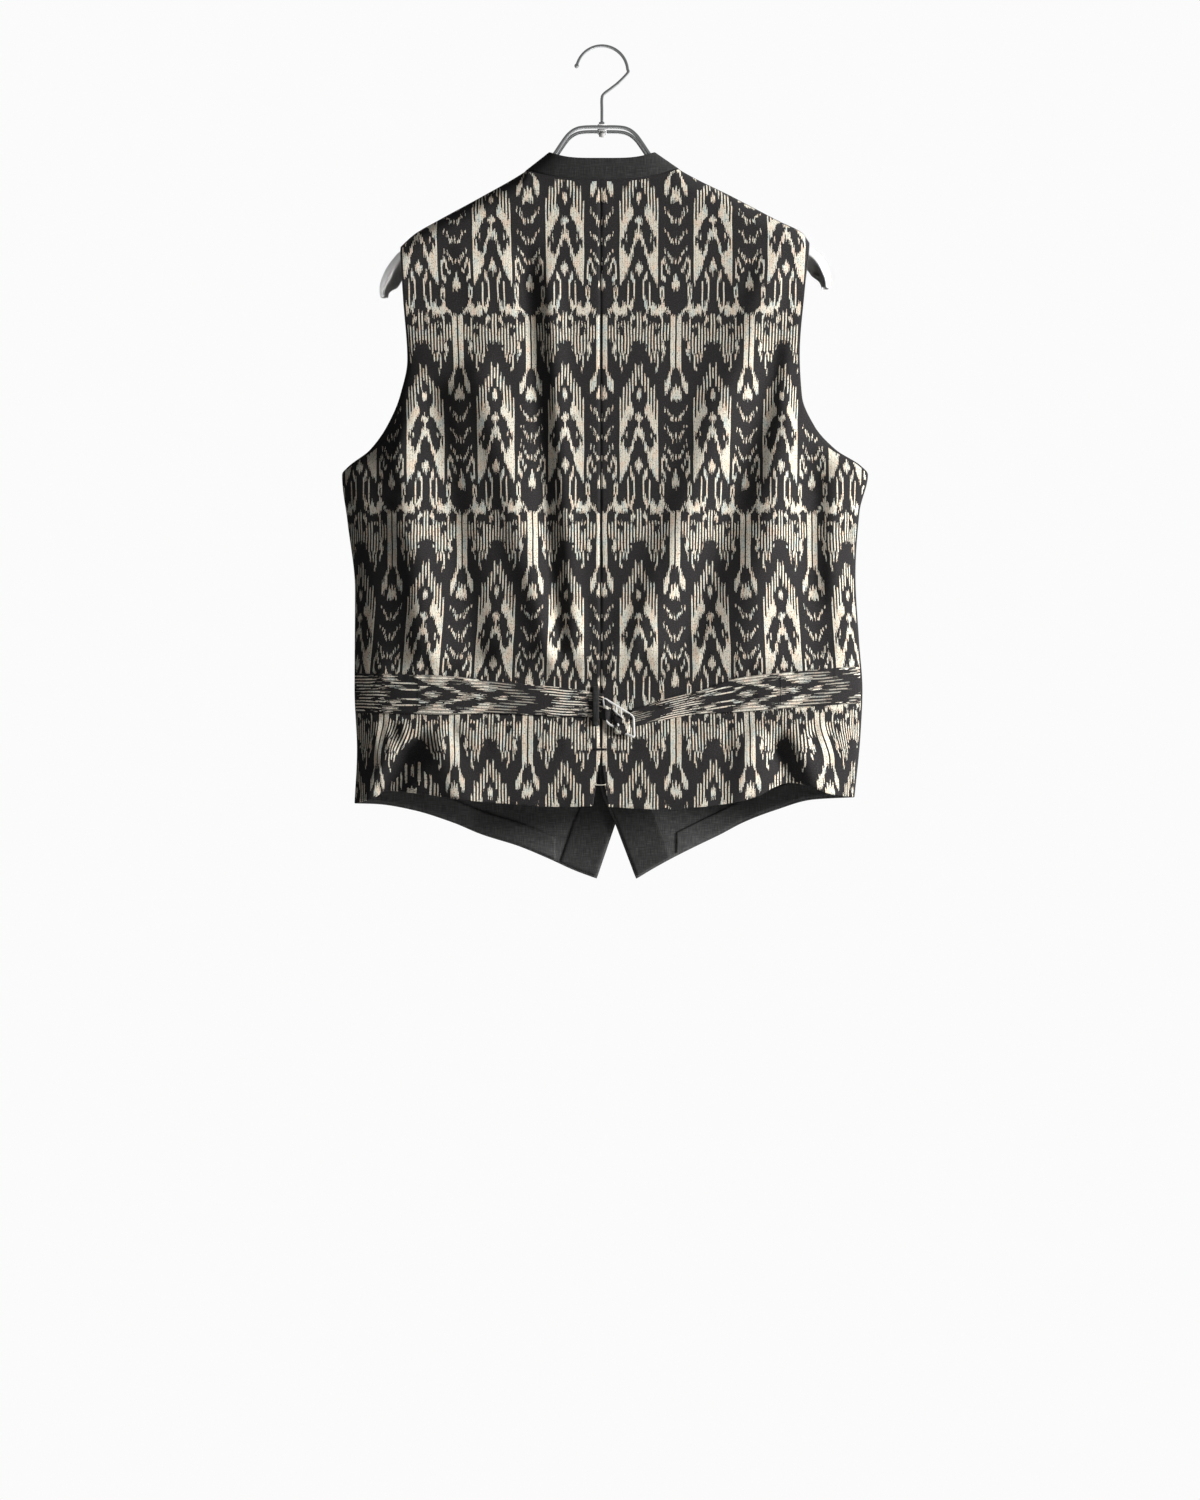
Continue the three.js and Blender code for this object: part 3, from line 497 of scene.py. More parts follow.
@dataclass
class Graph:
    """One node tree and the short ways to add to it."""

    tree: bpy.types.NodeTree

    def add(self, kind: str, settings: dict[str, Any] | None = None,
            inputs: dict[Any, Any] | None = None, output: int | str = 0) -> Value:
        """Adds a node.

        Args:
            kind: The node's type.
            settings: Its own settings, set first; "stops" are a ramp's places and colours.
            inputs: Values or links by the socket's name or number.
            output: Which of its sockets to hand on.
        Returns:
            The value at that socket.
        """
        node = self.tree.nodes.new(kind)
        for key, value in (settings or {}).items():
            if key == "stops":
                self._set_stops(node.color_ramp, value)
            elif key == "between":
                node.color_ramp.interpolation = value
            else:
                setattr(node, key, value)
        for key, value in (inputs or {}).items():
            if isinstance(value, Value):
                self.tree.links.new(value.socket, node.inputs[key])
            else:
                node.inputs[key].default_value = value
        return Value(self, node.outputs[output])

    @staticmethod
    def _set_stops(ramp: bpy.types.ColorRamp, stops: Sequence[tuple[float, Any]]) -> None:
        """Gives a ramp its stops.

        Args:
            ramp: The node's ramp.
            stops: Pairs of a place and a grey level or a colour.
        """
        while len(ramp.elements) < len(stops):
            ramp.elements.new(0.5)
        for element, (place, colour) in zip(ramp.elements, stops):
            element.position = place
            rgb = (colour,) * 3 if isinstance(colour, (int, float)) else colour
            element.color = (*rgb, 1)

    def math(self, operation: str, *values: Any) -> Value:
        """Adds a Math node on values or numbers."""
        return self.add("ShaderNodeMath", {"operation": operation}, dict(enumerate(values)))

    def blend(self, share: Any, a: Any, b: Any, how: str = "MIX") -> Value:
        """Mixes two colours.

        Args:
            share: How much of the second there is.
            a: The first colour.
            b: The second colour.
            how: The kind of blend.
        Returns:
            The mixed colour.
        """
        wide = [(*c, 1) if isinstance(c, tuple) else c for c in (a, b)]
        settings = {"data_type": "RGBA", "blend_type": how}
        return self.add("ShaderNodeMix", settings, {0: share, 6: wide[0], 7: wide[1]}, 2)

    def noise(self, x: Any, y: Any, detail: float = 2.0, z: Any = 0.0) -> Value:
        """Adds soft noise over two or three values, which are in steps of its grain.

        Args:
            x: The first value.
            y: The second value.
            detail: How many finer layers it has.
            z: The third value.
        Returns:
            The noise, from 0 to 1.
        """
        place = self.add("ShaderNodeCombineXYZ", None, {0: x, 1: y, 2: z})
        inputs = {"Vector": place, "Scale": 1.0, "Detail": detail, "Roughness": 0.55}
        return self.add("ShaderNodeTexNoise", {"noise_dimensions": "3D"}, inputs)

    def uv(self, title: str) -> tuple[Value, Value]:
        """Reads a UV map.

        Args:
            title: The map's name.
        Returns:
            Its two numbers, in metres.
        """
        place = self.add("ShaderNodeUVMap", {"uv_map": title})
        split = self.add("ShaderNodeSeparateXYZ", None, {0: place})
        return split, Value(self, split.socket.node.outputs[1])

    def object_place(self) -> tuple[Value, Value, Value]:
        """Reads the place on the object.

        Returns:
            Its x, y and z, in metres.
        """
        coordinates = self.add("ShaderNodeTexCoord", None, None, "Object")
        split = self.add("ShaderNodeSeparateXYZ", None, {0: coordinates})
        return split, *(Value(self, split.socket.node.outputs[i]) for i in (1, 2))


@dataclass(frozen=True)
class Finish:
    """A surface finish. Each kind fills in its own nodes."""

    name: str
    roughness: float = 0.9
    metallic: float = 0.0
    sheen: float = 0.0
    specular: float = 0.35

    def material(self) -> bpy.types.Material:
        """Finds the finish's material, or makes it the first time.

        Returns:
            The material.
        """
        made = bpy.data.materials.get(self.name)
        if made:
            return made
        made = bpy.data.materials.new(self.name)
        made.use_nodes = True
        graph = Graph(made.node_tree)
        shader = made.node_tree.nodes["Principled BSDF"]
        for socket, value in {"Roughness": self.roughness, "Metallic": self.metallic,
                              "Sheen Weight": self.sheen, "Sheen Roughness": 0.6,
                              "Specular IOR Level": self.specular}.items():
            shader.inputs[socket].default_value = value
        for socket, value in self.channels(graph).items():
            graph.tree.links.new(value.socket, shader.inputs[socket])
        return made

    def channels(self, graph: Graph) -> dict[str, Value]:
        """The values that change over the surface, by the shader's socket."""
        raise NotImplementedError

    @staticmethod
    def bump(graph: Graph, height: Value, strength: float, distance: float) -> Value:
        """A normal that a height bends."""
        inputs = {"Strength": strength, "Distance": distance, "Height": height}
        return graph.add("ShaderNodeBump", None, inputs)


# The repeat of the back cloth, drawn as a chart. Each row is a line of threads, from the middle
# of the wide motif to the middle of the narrow one, and gives the stretches where it is
# undyed, in steps down from the top of the forks.
CHART_STEPS = 199
CHART = (
    "53-63 76-86 100-122 144-159",
    "0-27 77-84 101-106 114-121 147-156 196-199",
    "50-71 102-105 115-126 150-154",
    "1-4 14-27 120-127 163-185",
    "0-6 60-77 92-100 127-137 158-166 182-192",
    "3-9 11-30 33-35 88-102 130-139 155-163 186-196",
    "65-104 136-147 190-194",
    "10-41 91-106 139-152 166-192",
    "41-48 72-112 119-124 136-157 189-199",
    "9-38 97-115 134-160 186-199",
    "39-47 73-120 126-163 187-199",
    "9-12 21-39 53-57 104-121 130-165 190-198",
    "40-54 84-168 192-199",
    "9-12 18-37 189-199",
    "0-3 171-181 188-199",
    "2-26 28-36 41-46 145-162 169-173 181-199",
    "27-40 142-147 158-164 170-181 184-196",
    "10-26 34-38 68-79 92-95 112-115 132-135 141-146 160-165 190-194",
    "66-79 146-152 192-195",
    "10-24 62-76 95-98 115-118 135-138 153-157 193-197",
    "58-72 98-101 118-121 138-141 153-157 195-198",
    "0-60 79-85 101-105 121-125 141-145",
    "0-54 73-85 103-106 123-126 143-146 166-172",
    "0-54 76-85 162-174",
    "71-85 102-106 122-126 142-146 157-174",
)


def chart_stops(row: str) -> list[tuple[float, float]]:
    """Turns a row of the chart into a ramp's stops.

    Args:
        row: Its undyed stretches, such as "3-9 11-30".
    Returns:
        Places from 0 to 1 down the repeat, each with 1 where cream starts or 0 where it ends.
    """
    stops = [(0.0, 0.0)]
    for stretch in row.split():
        start, end = (int(n) for n in stretch.split("-"))
        if start == 0:
            stops = [(0.0, 1.0)]
        else:
            stops.append((start / CHART_STEPS, 1.0))
        if end < CHART_STEPS:
            stops.append((end / CHART_STEPS, 0.0))
    return stops


@dataclass(frozen=True)
class IkatCloth(Finish):
    """Warp ikat: cream and tinted threads with feathered ends on a charcoal ground."""

    repeat_wide: float = 0.0735
    repeat_tall: float = 0.1965
    fork_top: float = -0.0745
    line: float = 0.00153
    thread: float = 0.00051
    ragged: float = 17
    line_share: float = 0.86
    every_other: float = 0.0
    seam_margin: float = 0.0006
    edge_margin: float = 0.0022
    ground: tuple[float, float, float] = (0.0215, 0.0203, 0.0203)
    gaps: float = 0.62
    cream: tuple[float, float, float] = (0.72, 0.67, 0.56)
    peach: tuple[float, float, float] = (0.74, 0.58, 0.44)
    mist: tuple[float, float, float] = (0.54, 0.60, 0.56)
    drift: float = 0.0022
    weave_size: float = 0.00042

    def channels(self, graph: Graph) -> dict[str, Value]:
        """Draws the chart on the threads, and gives the weave its tints and relief.

        Args:
            graph: The material's nodes.
        Returns:
            The values that change, by the shader's socket.
        """
        u, v = graph.uv("threads")
        seam, edge = graph.uv("edges")
        u = u + (graph.noise(u * 45, v * 28) - 0.5) * self.drift
        thread = (u / self.thread).floor()
        cream = self.undyed(graph, u, v, thread)
        cream = cream * (seam > self.seam_margin) * (edge > self.edge_margin)
        # Each thread has dark gaps of its own, and the tint changes in patches and by thread.
        fleck = graph.noise(thread * 0.83, v * 1500, 1.0)
        cream = cream * (1 - (graph.noise(thread * 0.71, v * 620, 1.0, 4.0) > self.gaps) * 0.75)
        tint = graph.noise(u * 150, v * 75, 2.0, 9.0) + (graph.noise(thread * 0.9, v * 120) - 0.5) * 0.5
        stops = [(0.30, self.mist), (0.44, self.cream), (0.52, self.cream), (0.66, self.peach),
                 (0.80, self.cream)]
        dyed = graph.add("ShaderNodeValToRGB", {"stops": stops}, {0: tint})
        shade = graph.add("ShaderNodeValToRGB", {"stops": [(0.28, 0.62), (0.70, 1.0)]}, {0: fleck})
        dyed = graph.blend(1.0, dyed, shade, "MULTIPLY")
        stops = [(place, tuple(c * level for c in self.ground))
                 for place, level in ((0.30, 0.62), (0.52, 1.0), (0.74, 2.1))]
        slub = graph.noise(thread * 0.97, v * 1150, 1.5, 2.0)
        dark = graph.add("ShaderNodeValToRGB", {"stops": stops}, {0: slub})
        colour = graph.blend(cream, dark, dyed)
        weave = graph.noise(u / self.weave_size, v / self.weave_size, 1.0)
        wale = abs((u / self.thread).fraction() - 0.5)
        return {"Base Color": colour,
                "Roughness": 0.86 + weave * 0.12,
                "Normal": self.bump(graph, weave * 0.6 - wale + cream * 0.5, 0.55, 0.0004)}

    def undyed(self, graph: Graph, u: Value, v: Value, thread: Value) -> Value:
        """Reads the chart at each thread.

        Args:
            graph: The material's nodes.
            u: The place across the threads.
            v: The place along them.
            thread: The number of the thread.
        Returns:
            1 on cream and 0 on the ground.
        """
        # The chart is mirrored at the middle of each motif, one row for each line of threads.
        turn = (u / self.repeat_wide).fraction()
        place = abs(turn - 0.5) * (self.repeat_wide / self.line) + 0.5
        line = place.floor()
        ragged = (graph.noise(thread * 0.77, v * 34, 1.0) - 0.5) * (self.ragged / CHART_STEPS)
        wander = (graph.noise(u * 20, v * 12, 1.0, 5.0) - 0.5) * (8 / CHART_STEPS)
        down = ((self.fork_top - v) / self.repeat_tall + ragged + wander).fraction()
        total: Any = 0.0
        for number, row in enumerate(CHART):
            stops = {"between": "CONSTANT", "stops": chart_stops(row)}
            here = graph.add("ShaderNodeValToRGB", stops, {0: down})
            chosen = graph.math("COMPARE", line, float(number), 0.5)
            total = graph.math("MULTIPLY_ADD", here, chosen, total)
        between = abs(place.fraction() - 0.5) > self.line_share / 2
        if self.every_other:
            even = 0.25 - (line * 0.5).fraction() > 0
            total = total * (1 - even * self.every_other)
        return total * (1 - between * 0.85)


@dataclass(frozen=True)
class PlainWeave(Finish):
    """Plain black cloth with slubs and a fine weave."""

    tone: float = 0.042
    tint: tuple[float, float, float] = (1.0, 0.985, 0.975)

    def channels(self, graph: Graph) -> dict[str, Value]:
        """Gives the weave uneven threads both ways.

        Args:
            graph: The material's nodes.
        Returns:
            The values that change, by the shader's socket.
        """
        u, v = graph.uv("threads")
        warp = graph.noise(u * 1500, v * 90, 1.0)
        weft = graph.noise(u * 90, v * 1500, 1.0, 3.0)
        cloud = graph.noise(u * 14, v * 14, 3.0, 6.0)
        grain = warp * 0.4 + weft * 0.4 + cloud * 0.2
        stops = [(place, tuple(self.tone * level * c for c in self.tint))
                 for place, level in ((0.32, 0.5), (0.5, 1.0), (0.68, 1.9))]
        colour = graph.add("ShaderNodeValToRGB", {"stops": stops}, {0: grain})
        return {"Base Color": colour,
                "Roughness": 0.84 + grain * 0.14,
                "Normal": self.bump(graph, warp + weft, 0.5, 0.0003)}


@dataclass(frozen=True)
class Metal(Finish):
    """Polished or brushed metal with faint handling marks."""

    colour: tuple[float, float, float] = (0.80, 0.81, 0.82)
    brushed: float = 0.02

    def channels(self, graph: Graph) -> dict[str, Value]:
        """Varies the gloss and the tone a little.

        Args:
            graph: The material's nodes.
        Returns:
            The values that change, by the shader's socket.
        """
        x, y, z = graph.object_place()
        marks = graph.noise(x * 260, y * 260, 3.0, z * 260)
        long = graph.noise(x * 1700, y * 300, 2.0, z * 300)
        worn = tuple(c * 0.82 for c in self.colour)
        return {"Base Color": graph.blend(marks, worn, self.colour),
                "Roughness": self.roughness + (marks - 0.5) * self.brushed * 2,
                "Normal": self.bump(graph, long, self.brushed, 0.0001)}


@dataclass(frozen=True)
class Moulded(Finish):
    """Horn or moulded plastic: streaks of two tones under a soft gloss."""

    light: tuple[float, float, float] = (0.75, 0.75, 0.74)
    dark: tuple[float, float, float] = (0.62, 0.62, 0.61)
    streak: float = 300.0

    def channels(self, graph: Graph) -> dict[str, Value]:
        """Runs the streaks across the piece.

        Args:
            graph: The material's nodes.
        Returns:
            The values that change, by the shader's socket.
        """
        x, y, z = graph.object_place()
        streaks = graph.noise(x * self.streak, y * self.streak, 4.0, z * self.streak * 0.25)
        return {"Base Color": graph.blend(streaks, self.dark, self.light),
                "Roughness": self.roughness + (streaks - 0.5) * 0.2}


@dataclass(frozen=True)
class Thread(Finish):
    """Sewing thread with a twist."""

    colour: tuple[float, float, float] = (0.02, 0.02, 0.02)

    def channels(self, graph: Graph) -> dict[str, Value]:
        """Twists two plies of slightly different tone.

        Args:
            graph: The material's nodes.
        Returns:
            The values that change, by the shader's socket.
        """
        x, y, z = graph.object_place()
        ply = graph.noise(x * 2600, y * 2600, 1.0, z * 2600)
        return {"Base Color": graph.blend(ply, tuple(c * 0.6 for c in self.colour), self.colour),
                "Normal": self.bump(graph, ply, 0.4, 0.0002)}


IKAT = IkatCloth("ikat_cloth", sheen=0.01, specular=0.12)
BELT_IKAT = IkatCloth("ikat_cloth_of_belt", sheen=0.01, specular=0.12, ragged=36,
                      line_share=0.90, gaps=0.62, every_other=0.60,
                      cream=(0.84, 0.79, 0.67), peach=(0.84, 0.68, 0.54), mist=(0.64, 0.70, 0.66))
PLAIN = PlainWeave("plain_black_cloth", sheen=0.04, specular=0.2, tone=0.05)
LINING = PlainWeave("plain_cloth_inside", sheen=0.02, specular=0.15, tone=0.058)
FACING = PlainWeave("plain_facing_cloth", sheen=0.02, specular=0.15, tone=0.030)
BAND = PlainWeave("neck_band_cloth", sheen=0.02, specular=0.15, tone=0.022)
CHROME = Metal("chrome_plate", 0.1, 1.0, colour=(0.86, 0.87, 0.88))
SATIN = Metal("satin_plate_of_arms", 0.32, 0.4, colour=(0.62, 0.62, 0.61))
BUCKLE_STEEL = Metal("buckle_nickel", 0.36, 0.5, colour=(0.95, 0.94, 0.91), brushed=0.05)
HORN = Moulded("button_horn", 0.36, light=(0.045, 0.036, 0.03), dark=(0.012, 0.011, 0.01))
PALE = Moulded("bridge_plastic", 0.42)
BLACK_THREAD = Thread("black_thread", 0.75)
CREAM_THREAD = Thread("cream_thread", 0.75, colour=(0.72, 0.68, 0.58))


def dress(piece: bpy.types.Object, finish: Finish, slot: Slot, *nodes: str) -> bpy.types.Object:
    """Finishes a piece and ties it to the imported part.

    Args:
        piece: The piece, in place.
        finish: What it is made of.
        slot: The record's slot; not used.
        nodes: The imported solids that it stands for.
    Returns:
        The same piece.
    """
    piece.data.materials.clear()
    piece.data.materials.append(finish.material())
    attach(piece, BODY)
    if nodes:
        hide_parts(*nodes)
    log.info("%s: %d faces, %s", piece.name, len(piece.data.polygons), finish.name)
    return piece


def line_inside(piece: bpy.types.Object, rows: int, columns: int) -> None:
    """Gives the back of a piece of cloth the greyer look of its wrong side.

    Args:
        piece: A shell made from a cloth grid.
        rows: The grid's rows.
        columns: The grid's columns.
    """
    piece.data.materials.append(LINING.material())
    count = (rows - 1) * (columns - 1)
    index = np.zeros(len(piece.data.polygons), int)
    index[count:2 * count] = 1
    piece.data.polygons.foreach_set("material_index", index)


# The garment's form


@dataclass
class BodyForm:
    """The hanging garment's outside: how wide, how deep and where its edges run."""

    seam_gap: float = 0.3
    back_seam_x: float = 1.5
    vent_top: float = -702
    vent_length: float = 64
    vent_spread: float = 16.8
    neck_half: float = 76.5
    neck_low: float = -136.4
    neck_depth: float = 27.5
    roll: float = 22
    lap: float = 15
    lap_lift: float = 5
    lap_width: float = 70
    crown_power: float = 3.6
    belt_height: float = -654
    belt_flat: float = 20
    belt_reach: float = 22
    belt_pull: float = 5
    belt_free: float = 100
    puff_lift: float = 6
    puff_above: float = 50
    puff_tall: float = 17
    underarm: float = -424
    half: dict[Side, Curve] = field(default_factory=lambda: {
        Side.LEFT: Curve(((-755.5, 247.5), (-702.5, 245), (-642.5, 247.5), (-542.5, 247),
                          (-474.5, 254.5), (-427, 260), (-419.5, 254), (-403, 232), (-380, 214.5),
                          (-350, 201), (-314, 193.5), (-255, 197.5), (-199.5, 201))),
        Side.RIGHT: Curve(((-749.5, 252.5), (-687.5, 258.5), (-642.5, 260.5), (-592.5, 257),
                           (-527.5, 253.5), (-464.5, 257.5), (-427, 266), (-418.5, 259),
                           (-403, 234), (-380, 212), (-350, 199), (-309, 196.5), (-249, 201),
                           (-195.5, 207)))})
    shoulder: dict[Side, Curve] = field(default_factory=lambda: {
        Side.LEFT: Curve(((53.5, -106.5), (76.5, -124.5), (121.5, -150.5), (165.5, -174.5),
                          (187, -187), (201, -199.5))),
        Side.RIGHT: Curve(((53.5, -105.5), (78.5, -123.5), (131.5, -150.5), (177.5, -174.5),
                           (199.5, -185.5), (207, -195.5)))})
    back_hem: dict[Side, Curve] = field(default_factory=lambda: {
        Side.LEFT: Curve(((8, -757.3), (39, -758.3), (99, -754.8), (140, -751), (179, -745.4),
                          (213, -742.5), (227, -750), (247.5, -755.5))),
        Side.RIGHT: Curve(((8, -758.3), (58, -760.7), (97, -758.3), (134, -753.3), (156, -747),
                           (171, -739), (186, -734.6), (202, -737), (227, -746), (252.5, -749.5)))})
    front_hem: dict[Side, Curve] = field(default_factory=lambda: {
        Side.LEFT: Curve(((5.6, -832.4), (28, -824), (55, -811.6), (84, -799.5), (122, -787.4),
                          (151, -775.3), (189, -763), (226, -756.5), (247.5, -755.5))),
        Side.RIGHT: Curve(((34.9, -832.4), (49, -823.8), (71, -811.6), (95, -799.5),
                           (120, -787.4), (143, -775.3), (174, -763), (213, -752),
                           (252.5, -749.5)))})
    front_out: Curve = Curve(((-832.4, 20.2), (-776.3, 0), (-738, -14), (-715, -15), (-345, -15),
                              (-325, -11), (-240, 21), (-160, 47), (-106, 53.5)))
    centre_front: Curve = Curve(((-832.4, -14.6), (-106, -1)))
    back_bulk: Curve = Curve(((-833, 43), (-760, 42), (-700, 39), (-650, 33), (-600, 39),
                              (-500, 39), (-424, 37), (-380, 35), (-320, 32), (-250, 29),
                              (-100, 28)))
    front_bulk: Curve = Curve(((-833, 44), (-760, 42), (-700, 39), (-650, 37), (-600, 38),
                               (-500, 38), (-424, 36), (-380, 34), (-320, 31), (-250, 28),
                               (-100, 27)))
    edge_bulk: Curve = Curve(((-833, 0), (-424, 0), (-380, 11), (-320, 20), (-250, 24),
                              (-100, 25)))
    back_folds: tuple[Fold, ...] = folds_from((
        (-160, -238, -40, -590, 7, 24, 16), (-176, -312, -84, -600, -6, 18, 17),
        (-194, -310, -143, -604, 8, 14, 24), (-214, -425, -212, -600, -6, 15, 19),
        (205, -375, 174, -604, 7, 15, 18), (166, -350, 127, -605, -7, 17, 20),
        (120, -330, 55, -600, 7, 18, 15), (75, -215, 42, -600, -5, 13, 10),
        (52, -235, 27, -600, 4.5, 11, 10), (172, -676, 213, -745, -9, 9, 19),
        (163, -680, 142, -755, 5, 12, 20), (190, -672, 236, -752, 4, 8, 12),
        (-168, -676, -186, -735, -10, 9, 17), (-148, -672, -138, -752, 5, 12, 16),
        (-186, -680, -214, -740, 6, 10, 16)))
    front_folds: tuple[Fold, ...] = folds_from((
        (150, -250, 120, -640, 5, 20, 24), (188, -400, 172, -800, -5, 16, 22),
        (-144, -240, -128, -600, 5, 22, 20), (-192, -420, -165, -810, -5, 18, 20)))

    def crown(self, share: Any) -> Any:
        """How full the body is at a share of its half width."""
        return np.sqrt(1 - np.clip(share, 0, 1) ** self.crown_power)

    @staticmethod
    def calm(share: Any) -> Any:
        """1 in the middle of a panel and 0 at its side, where folds die out."""
        return 1 - smooth((share - 0.86) / 0.12)

    def grip(self, x: Any, z: Any) -> Any:
        """How much the belt draws the cloth in at a place."""
        height = 1 - smooth((np.abs(z - self.belt_height) - self.belt_flat) / self.belt_reach)
        return height * (1 - smooth((np.abs(x) - self.belt_free) / self.belt_free))

    def puff(self, x: Any, z: Any) -> Any:
        """The blousing of the cloth above the belt."""
        level = bell(z - self.belt_height - self.puff_above, self.puff_tall)
        return self.puff_lift * level * (1 - smooth((np.abs(x) - 70) / 80))

    def seam_depth(self, x: Any) -> Any:
        """How far behind the middle plane the back's top edge stands."""
        share = np.abs(x) / self.neck_half
        return self.seam_gap / 2 + self.neck_depth * np.cbrt(np.maximum(0, 1 - share**4))

    def back_top(self, side: Side, x: Any) -> Any:
        """Height of the back's top edge: the neck seam, then the shoulder seam.

        Args:
            side: Which half.
            x: Places across the garment.
        Returns:
            The edge's height at each place.
        """
        out = np.abs(x)
        neck = mix(self.neck_low, self.shoulder[side](self.neck_half),
                   np.minimum(1, out / self.neck_half) ** 3)
        return np.where(out > self.neck_half, self.shoulder[side](out), neck)

    def rolled(self, seam: Any, body: Any, below: Any) -> Any:
        """Depth of cloth that rolls over the hanger's arm into its seam."""
        share = np.clip(below / self.roll, 0, 1)
        return seam + (body - seam) * np.sqrt(np.maximum(0, 1 - (1 - share) ** 2))

    def back_bulge(self, side: Side, x: Any, z: Any) -> Any:
        """Outside of the back without its roll over the shoulder.

        Args:
            side: Which half.
            x: Places across the garment.
            z: Heights of the same places.
        Returns:
            Its distance behind the middle plane.
        """
        share = np.abs(x) / self.half[side](z)
        edge = self.seam_gap / 2 + self.edge_bulk(z)
        free = smooth((np.abs(z - self.belt_height) - self.belt_flat) / (self.belt_reach + 8))
        folds = sum(f.at(x, z) for f in self.back_folds) * self.calm(share) * free
        belt = self.puff(x, z) - self.belt_pull * self.grip(x, z)
        return edge + (self.back_bulk(z) - edge) * self.crown(share) + folds + belt

    def back_depth(self, side: Side, x: Any, z: Any) -> Any:
        """Outside of the back, as its distance behind the middle plane."""
        below = self.back_top(side, x) - z
        return self.rolled(self.seam_depth(x), self.back_bulge(side, x, z), below)

    def front_depth(self, side: Side, x: Any, z: Any) -> Any:
        """Outside of a front.

        Args:
            side: Which half.
            x: Places across the garment.
            z: Heights of the same places.
        Returns:
            Its distance before the middle plane.
        """
        share = np.abs(x) / self.half[side](z)
        edge = self.seam_gap / 2 + self.edge_bulk(z)
        lap = 0.0
        if side is Side.LEFT:
            lap = self.lap_lift * (1 - smooth((x - self.centre_front(z) - self.lap) / self.lap_width))
        folds = sum(f.at(x, z) for f in self.front_folds) * self.calm(share)
        body = edge + (self.front_bulk(z) - edge) * self.crown(share) + folds + lap
        return self.rolled(self.seam_gap / 2, body, self.shoulder[side](np.abs(x)) - z)

    def vent_gap(self, z: Any) -> Any:
        """How far a back stands from the seam line, which the vent opens."""
        share = np.clip((self.vent_top - z) / self.vent_length, 0, 1)
        return self.seam_gap / 2 + self.vent_spread / 2 * mix(smooth(share), share, 0.6)

    def back_inner(self, side: Side, z: Any) -> Any:
        """The back's edge at the centre seam and the vent."""
        return self.back_seam_x + side.value * self.vent_gap(z)

    def front_inner(self, side: Side, z: Any) -> Any:
        """The front's edge: hem point, lap and V neck."""
        return self.centre_front(z) + side.value * self.front_out(z)


